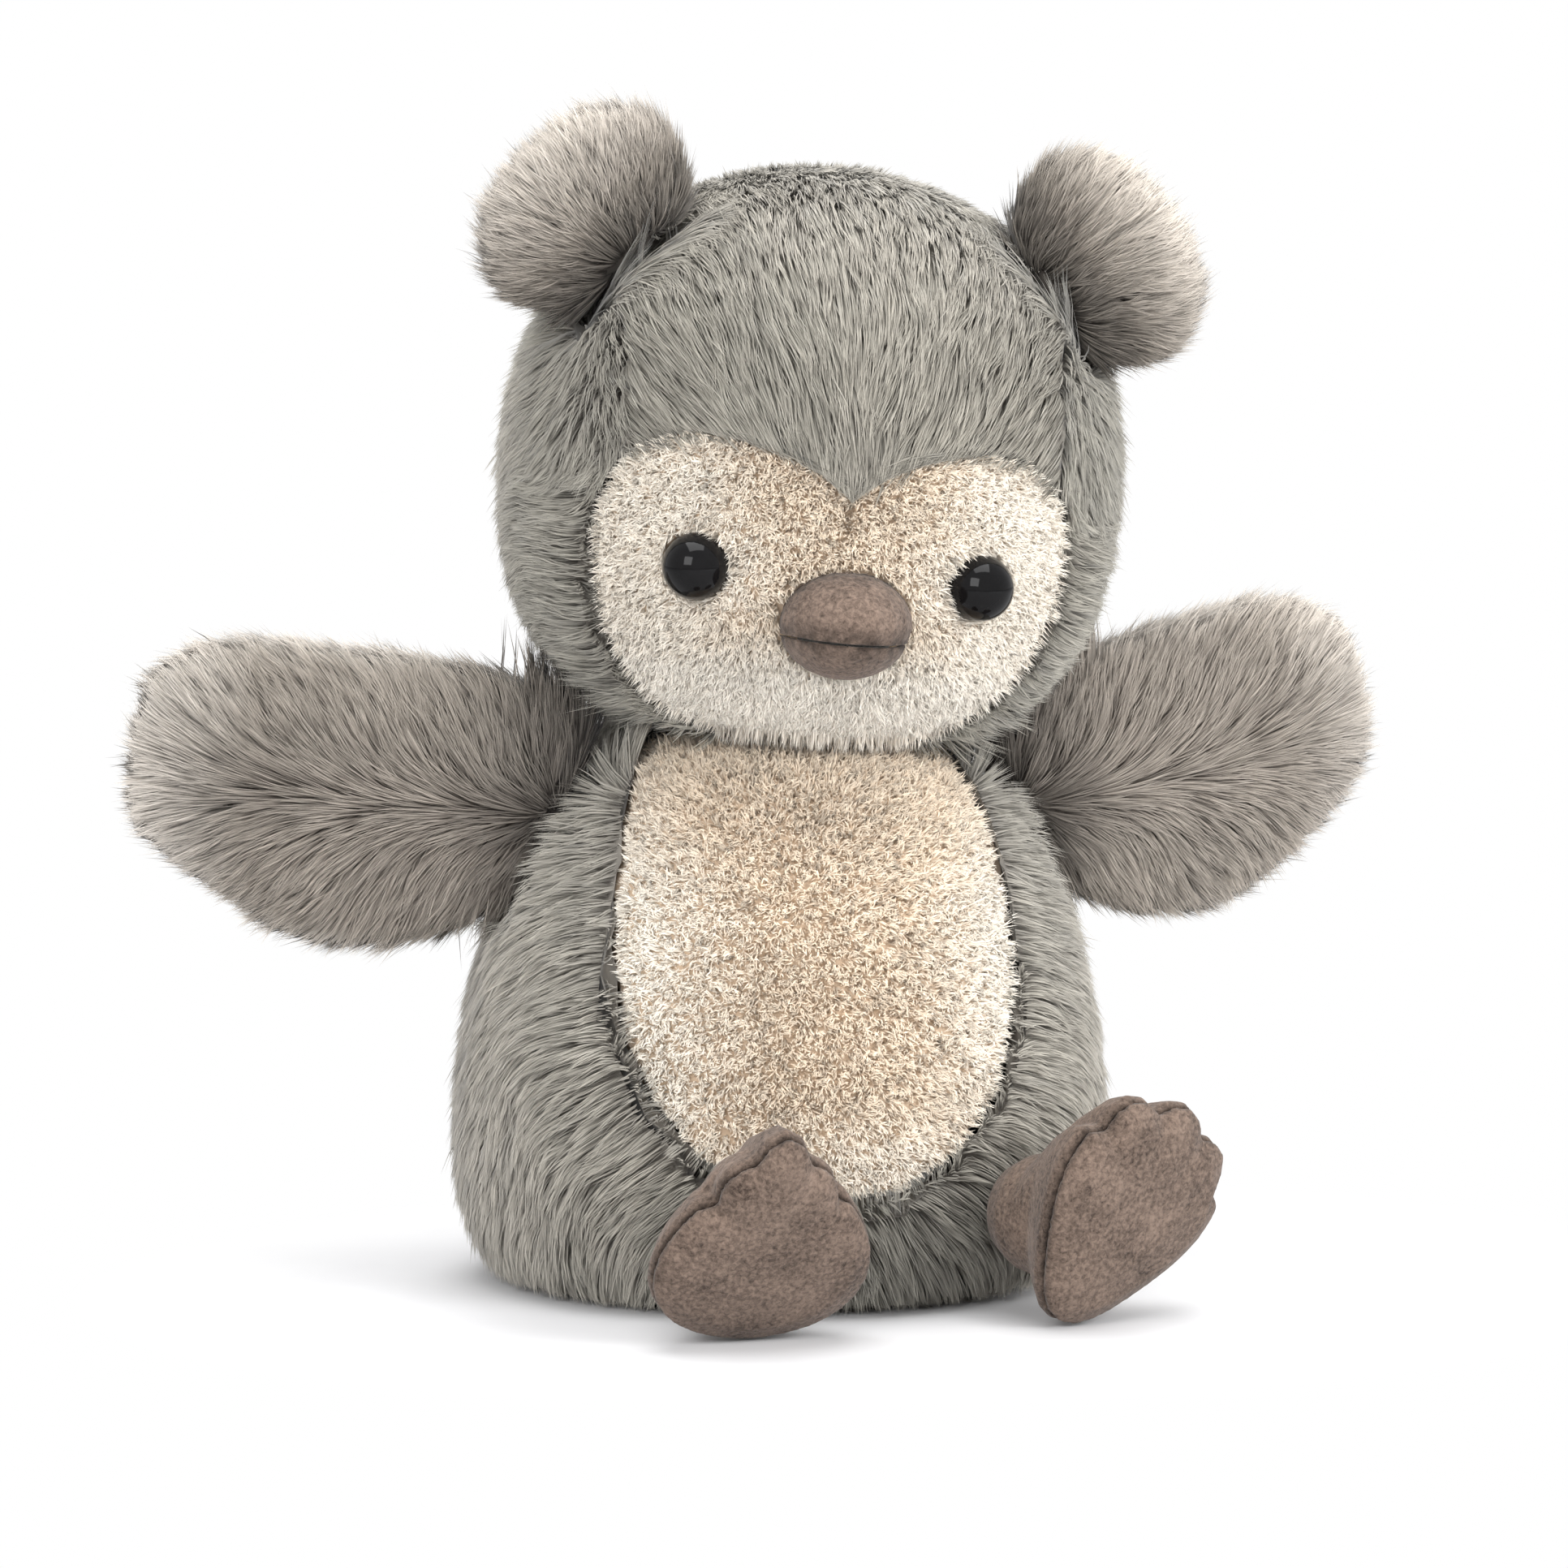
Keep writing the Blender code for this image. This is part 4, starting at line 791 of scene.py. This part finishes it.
for side, (middle, outward) in EYES.items():
    bpy.ops.object.select_all(action="DESELECT")
    bpy.ops.mesh.primitive_uv_sphere_add(segments=64, ring_count=32, radius=EYE_RADIUS)
    eye = bpy.context.object
    eye.name = f"eye_dome_{side}"
    eye.scale.z = EYE_RISE / EYE_RADIUS
    bpy.ops.object.transform_apply(scale=True)
    bpy.ops.object.mode_set(mode="EDIT")
    bpy.ops.mesh.select_all(action="SELECT")
    bpy.ops.mesh.bisect(plane_co=(0, 0, -EYE_FLOOR), plane_no=(0, 0, 1), use_fill=True, clear_inner=True)
    floor_radius = EYE_RADIUS * math.sqrt(1 - (EYE_FLOOR / EYE_RISE) ** 2)
    bpy.ops.mesh.inset(thickness=floor_radius - SHANK_RADIUS)
    bpy.ops.mesh.extrude_region_move(TRANSFORM_OT_translate={"value": (0, 0, EYE_FLOOR - SHANK_END)})
    bpy.ops.object.mode_set(mode="OBJECT")
    bpy.ops.object.shade_smooth_by_angle(angle=math.radians(35))
    eye.rotation_mode = "QUATERNION"
    eye.rotation_quaternion = outward.to_track_quat("Z", "Y")
    eye.location = middle
    bpy.ops.object.transform_apply(location=True, rotation=True, scale=True)
    eye.data.materials.append(gloss)
    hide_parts(f"eye_{side}")
    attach(eye, "head")
    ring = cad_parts[f"eye_washer_{side}"]
    ring.data.materials.clear()
    ring.data.materials.append(moulded)

# Beak: an upper and a lower panel of brown suedette over a little filling, seamed along the
# mouth and sewn to the middle of the face.

suedette, tree, shader = new_finish("brown_suedette")
place = add_node(tree, "ShaderNodeTexCoord")
seam = add_node(tree, "ShaderNodeAttribute", {"attribute_name": "seam"})
nap = add_node(
    tree, "ShaderNodeTexNoise", None,
    Vector=place.outputs["Object"], Scale=1300.0, Detail=4.0, Roughness=0.65, Distortion=0.4,
)
patches = add_node(tree, "ShaderNodeTexNoise", None, Vector=place.outputs["Object"], Scale=130.0, Detail=3.0)
both = add_node(tree, "ShaderNodeMix", {"data_type": "FLOAT"}, i0=0.3, i2=nap.outputs[0], i3=patches.outputs[0])
steps = add_node(tree, "ShaderNodeMapRange", None, Value=both.outputs[0], From_Min=0.34, From_Max=0.66)
tone = add_mix(tree, steps.outputs[0], to_linear(56, 46, 40), to_linear(130, 112, 100))
# Painted shade in the seam creases: near its seams, by the seam attribute, the suedette is darkened in patches, along
# with the seams' own darker line.
seam_shade_noise = add_node(tree, "ShaderNodeTexNoise", None, Vector=place.outputs["Object"], Scale=650.0, Detail=1.0)
seam_shade_patches = add_node(
    tree, "ShaderNodeMapRange", None,
    Value=seam_shade_noise.outputs[0], From_Min=0.40, From_Max=0.60, To_Min=0.25, To_Max=0.70,
)
drawn = add_node(tree, "ShaderNodeMath", {"operation": "MULTIPLY"}, i0=seam_shade_patches.outputs[0], i1=seam.outputs["Fac"])
left = add_node(tree, "ShaderNodeMath", {"operation": "SUBTRACT"}, i0=1.0, i1=drawn.outputs[0])
shade = add_node(tree, "ShaderNodeVectorMath", {"operation": "SCALE"}, i0=tone, Scale=left.outputs[0])
bump = add_node(tree, "ShaderNodeBump", None, Strength=0.6, Distance=0.0004, Height=nap.outputs[0])
tree.links.new(shade.outputs[0], shader.inputs["Base Color"])
tree.links.new(bump.outputs[0], shader.inputs["Normal"])
shader.inputs["Roughness"].default_value = 0.92
shader.inputs["Sheen Weight"].default_value = 0.12
shader.inputs["Specular IOR Level"].default_value = 0.15


SEAM_DEPTH = 0.0004


def sewn_cover(node, others, body, soft, lining=None):
    """A suedette panel with a finer mesh, drawn in near its seams with the others.

    A lining is a filling whose outside is added to the panel as a cloth, so that no fibre shows."""
    panel = copy_of(node, node + "_cover")
    if lining:
        inside = copy_of(lining, node + "_lining")
        wall = inside.modifiers.new("cloth", "SOLIDIFY")
        wall.thickness = 0.0012
        apply_all(inside)
        panel.select_set(True)
        bpy.context.view_layer.objects.active = panel
        bpy.ops.object.join()
    finer = panel.modifiers.new("finer", "REMESH")
    finer.mode = "VOXEL"
    finer.voxel_size = 0.0004 if body == "head" else 0.0005
    ease = panel.modifiers.new("soft edges", "SMOOTH")
    ease.iterations = 4
    apply_all(panel)
    edges = [panel_tree(other) for other in others]
    ways = [vert.normal.copy() for vert in panel.data.vertices]
    marks = []
    for vert, way in zip(panel.data.vertices, ways):
        spot, _, _, gap = min((edge.find_nearest(vert.co) for edge in edges), key=lambda found: found[3])
        drawn = math.exp(-((gap / soft) ** 2))
        marks.append(drawn)
        vert.co -= way * SEAM_DEPTH * drawn * (1 - abs(way.dot((spot - vert.co).normalized())))
    # The seam attribute marks where the material paints shade in the seam creases and along the beak's edge at the
    # face, with the seams' own darker line.
    panel.data.attributes.new("seam", "FLOAT", "POINT").data.foreach_set("value", marks)
    bpy.ops.object.shade_smooth()
    panel.data.materials.append(suedette)
    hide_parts(node)
    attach(panel, body)


sewn_cover("beak_upper", ("beak_lower", "face_panel"), "head", 0.0024)
sewn_cover("beak_lower", ("beak_upper", "face_panel"), "head", 0.0024)

# Ears: a tuft on each side of the crown, of a front and a back panel of long grey plush
# sewn back to back. The pile spreads outward from the root. Its tips are painted palest, as
# painted light through them, and its root is painted darker, as painted shade.

EARS = {
    "left": (np.array((0.04366, -0.01771, 0.16373)), np.array((0.8184, -0.0357, 0.5736))),
    "right": (np.array((-0.02884, -0.01454, 0.17098)), np.array((-0.6877, 0.03, 0.7254))),
}
EAR_REACH = 0.0205
EAR_FAN = 0.014
ear_pile = pile_finish("ear_long_pile", (100, 93, 86), (150, 142, 132), (190, 181, 170), (240, 232, 222), through=0.4)


def ear_lie(side):
    """The lie of one ear's pile: outward from a point behind its root."""
    root, outward = EARS[side]

    def lie(points, normals):
        away = points - (root - outward * EAR_FAN)
        share = ((points - root) @ outward) / EAR_REACH
        # Painted shade near the root (a paleness below 0), and painted light towards the tips.
        pale = np.where(share < 0.14, share * 5 - 0.7, np.clip(share * 1.1, 0, 1) ** 1.3)
        return away, np.maximum(pale, -0.9), 0.9 + 0.3 * np.clip(share, 0, 1)

    return lie


for side, seed in (("left", 61), ("right", 63)):
    for face_name, more in (("front", 0), ("back", 1)):
        panel = grow_pile(
            f"ear_{face_name}_{side}", f"ear_{face_name}_plush_{side}", seed + more,
            11500, 0.0085, 0.0080, 0.0003, 0.00024, ear_lie(side),
            lock=6, gather=0.45, wild=12.0, strays=0.14, loose=0.0006,
        )
        panel.data.materials.append(ear_pile)
        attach(panel, f"ear_{side}")

# Wings: a front and a back panel of long grey plush over a thin filling, sewn on the sides
# of the body along a slanting seam. The pile parts along the middle line and sweeps outward.

WINGS = {  # root, outward, upward
    "left": np.array(((0.04161, -0.00585, 0.0786), (0.901, 0.4012, 0.165), (-0.1508, -0.0671, 0.9863))),
    "right": np.array(((-0.04161, -0.00585, 0.0786), (-0.9101, 0.4052, 0.0872), (0.0796, -0.0354, 0.9962))),
}
WING_REACH, WING_TALL = 0.069, 0.0475
wing_pile = pile_finish(
    "wing_long_pile", (112, 104, 96), (162, 153, 143), (194, 185, 174), (246, 239, 230), through=0.4
)


def wing_lie(side):
    """The lie of one wing's pile: up and out above the middle line, down and out below it."""
    root, outward, upward = WINGS[side]

    def lie(points, normals):
        along = ((points - root) @ outward) / WING_REACH
        high = ((points - root) @ upward) / (WING_TALL / 2) + 0.05
        part = np.clip(high * 3.0, -1, 1)
        out_share = 0.35 + 0.9 * np.clip(along, 0, 1) ** 1.5
        fall = part * (1.0 - 0.45 * np.clip(along, 0, 1) ** 2)
        way = outward[None] * out_share[:, None] + upward[None] * fall[:, None]
        # Painted light: the outer part and the upper and lower edges are painted paler, as light through the fibre
        # tips; less on the owl's left wing, which gets less light.
        edge = np.clip((np.abs(high) - 0.75) * 3, 0, 1) * np.clip(along * 4, 0, 1)
        rim = np.maximum(np.clip((along - 0.62) * 3.5, 0, 1), edge)
        pale = rim * (0.7 if side == "left" else 1.0)
        # Painted shade: near the root the pile is painted darker (a paleness below 0).
        return way, np.where(along < 0.12, along * 6 - 0.72, pale), 0.9 + 0.35 * rim

    return lie


for side, seed in (("left", 71), ("right", 73)):
    for face_name, more in (("front", 0), ("back", 1)):
        panel = grow_pile(
            f"wing_{face_name}_{side}", f"wing_{face_name}_plush_{side}", seed + more,
            18500, 0.0055, 0.0100, 0.0004, 0.00026, wing_lie(side),
            lock=7, gather=0.42, strays=0.10, loose=0.0005,
        )
        panel.data.materials.append(wing_pile)
        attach(panel, f"wing_{side}")

# Feet: a three-toed sole and an upper of brown suedette over a filled core, seamed round
# the sole's edge, each on a stubby leg that goes into the body.

for side in ("left", "right"):
    sewn_cover(f"foot_sole_{side}", (f"foot_upper_{side}",), f"leg_{side}", 0.0011)
    sewn_cover(f"foot_upper_{side}", (f"foot_sole_{side}",), f"leg_{side}", 0.0011, f"foot_filling_{side}")
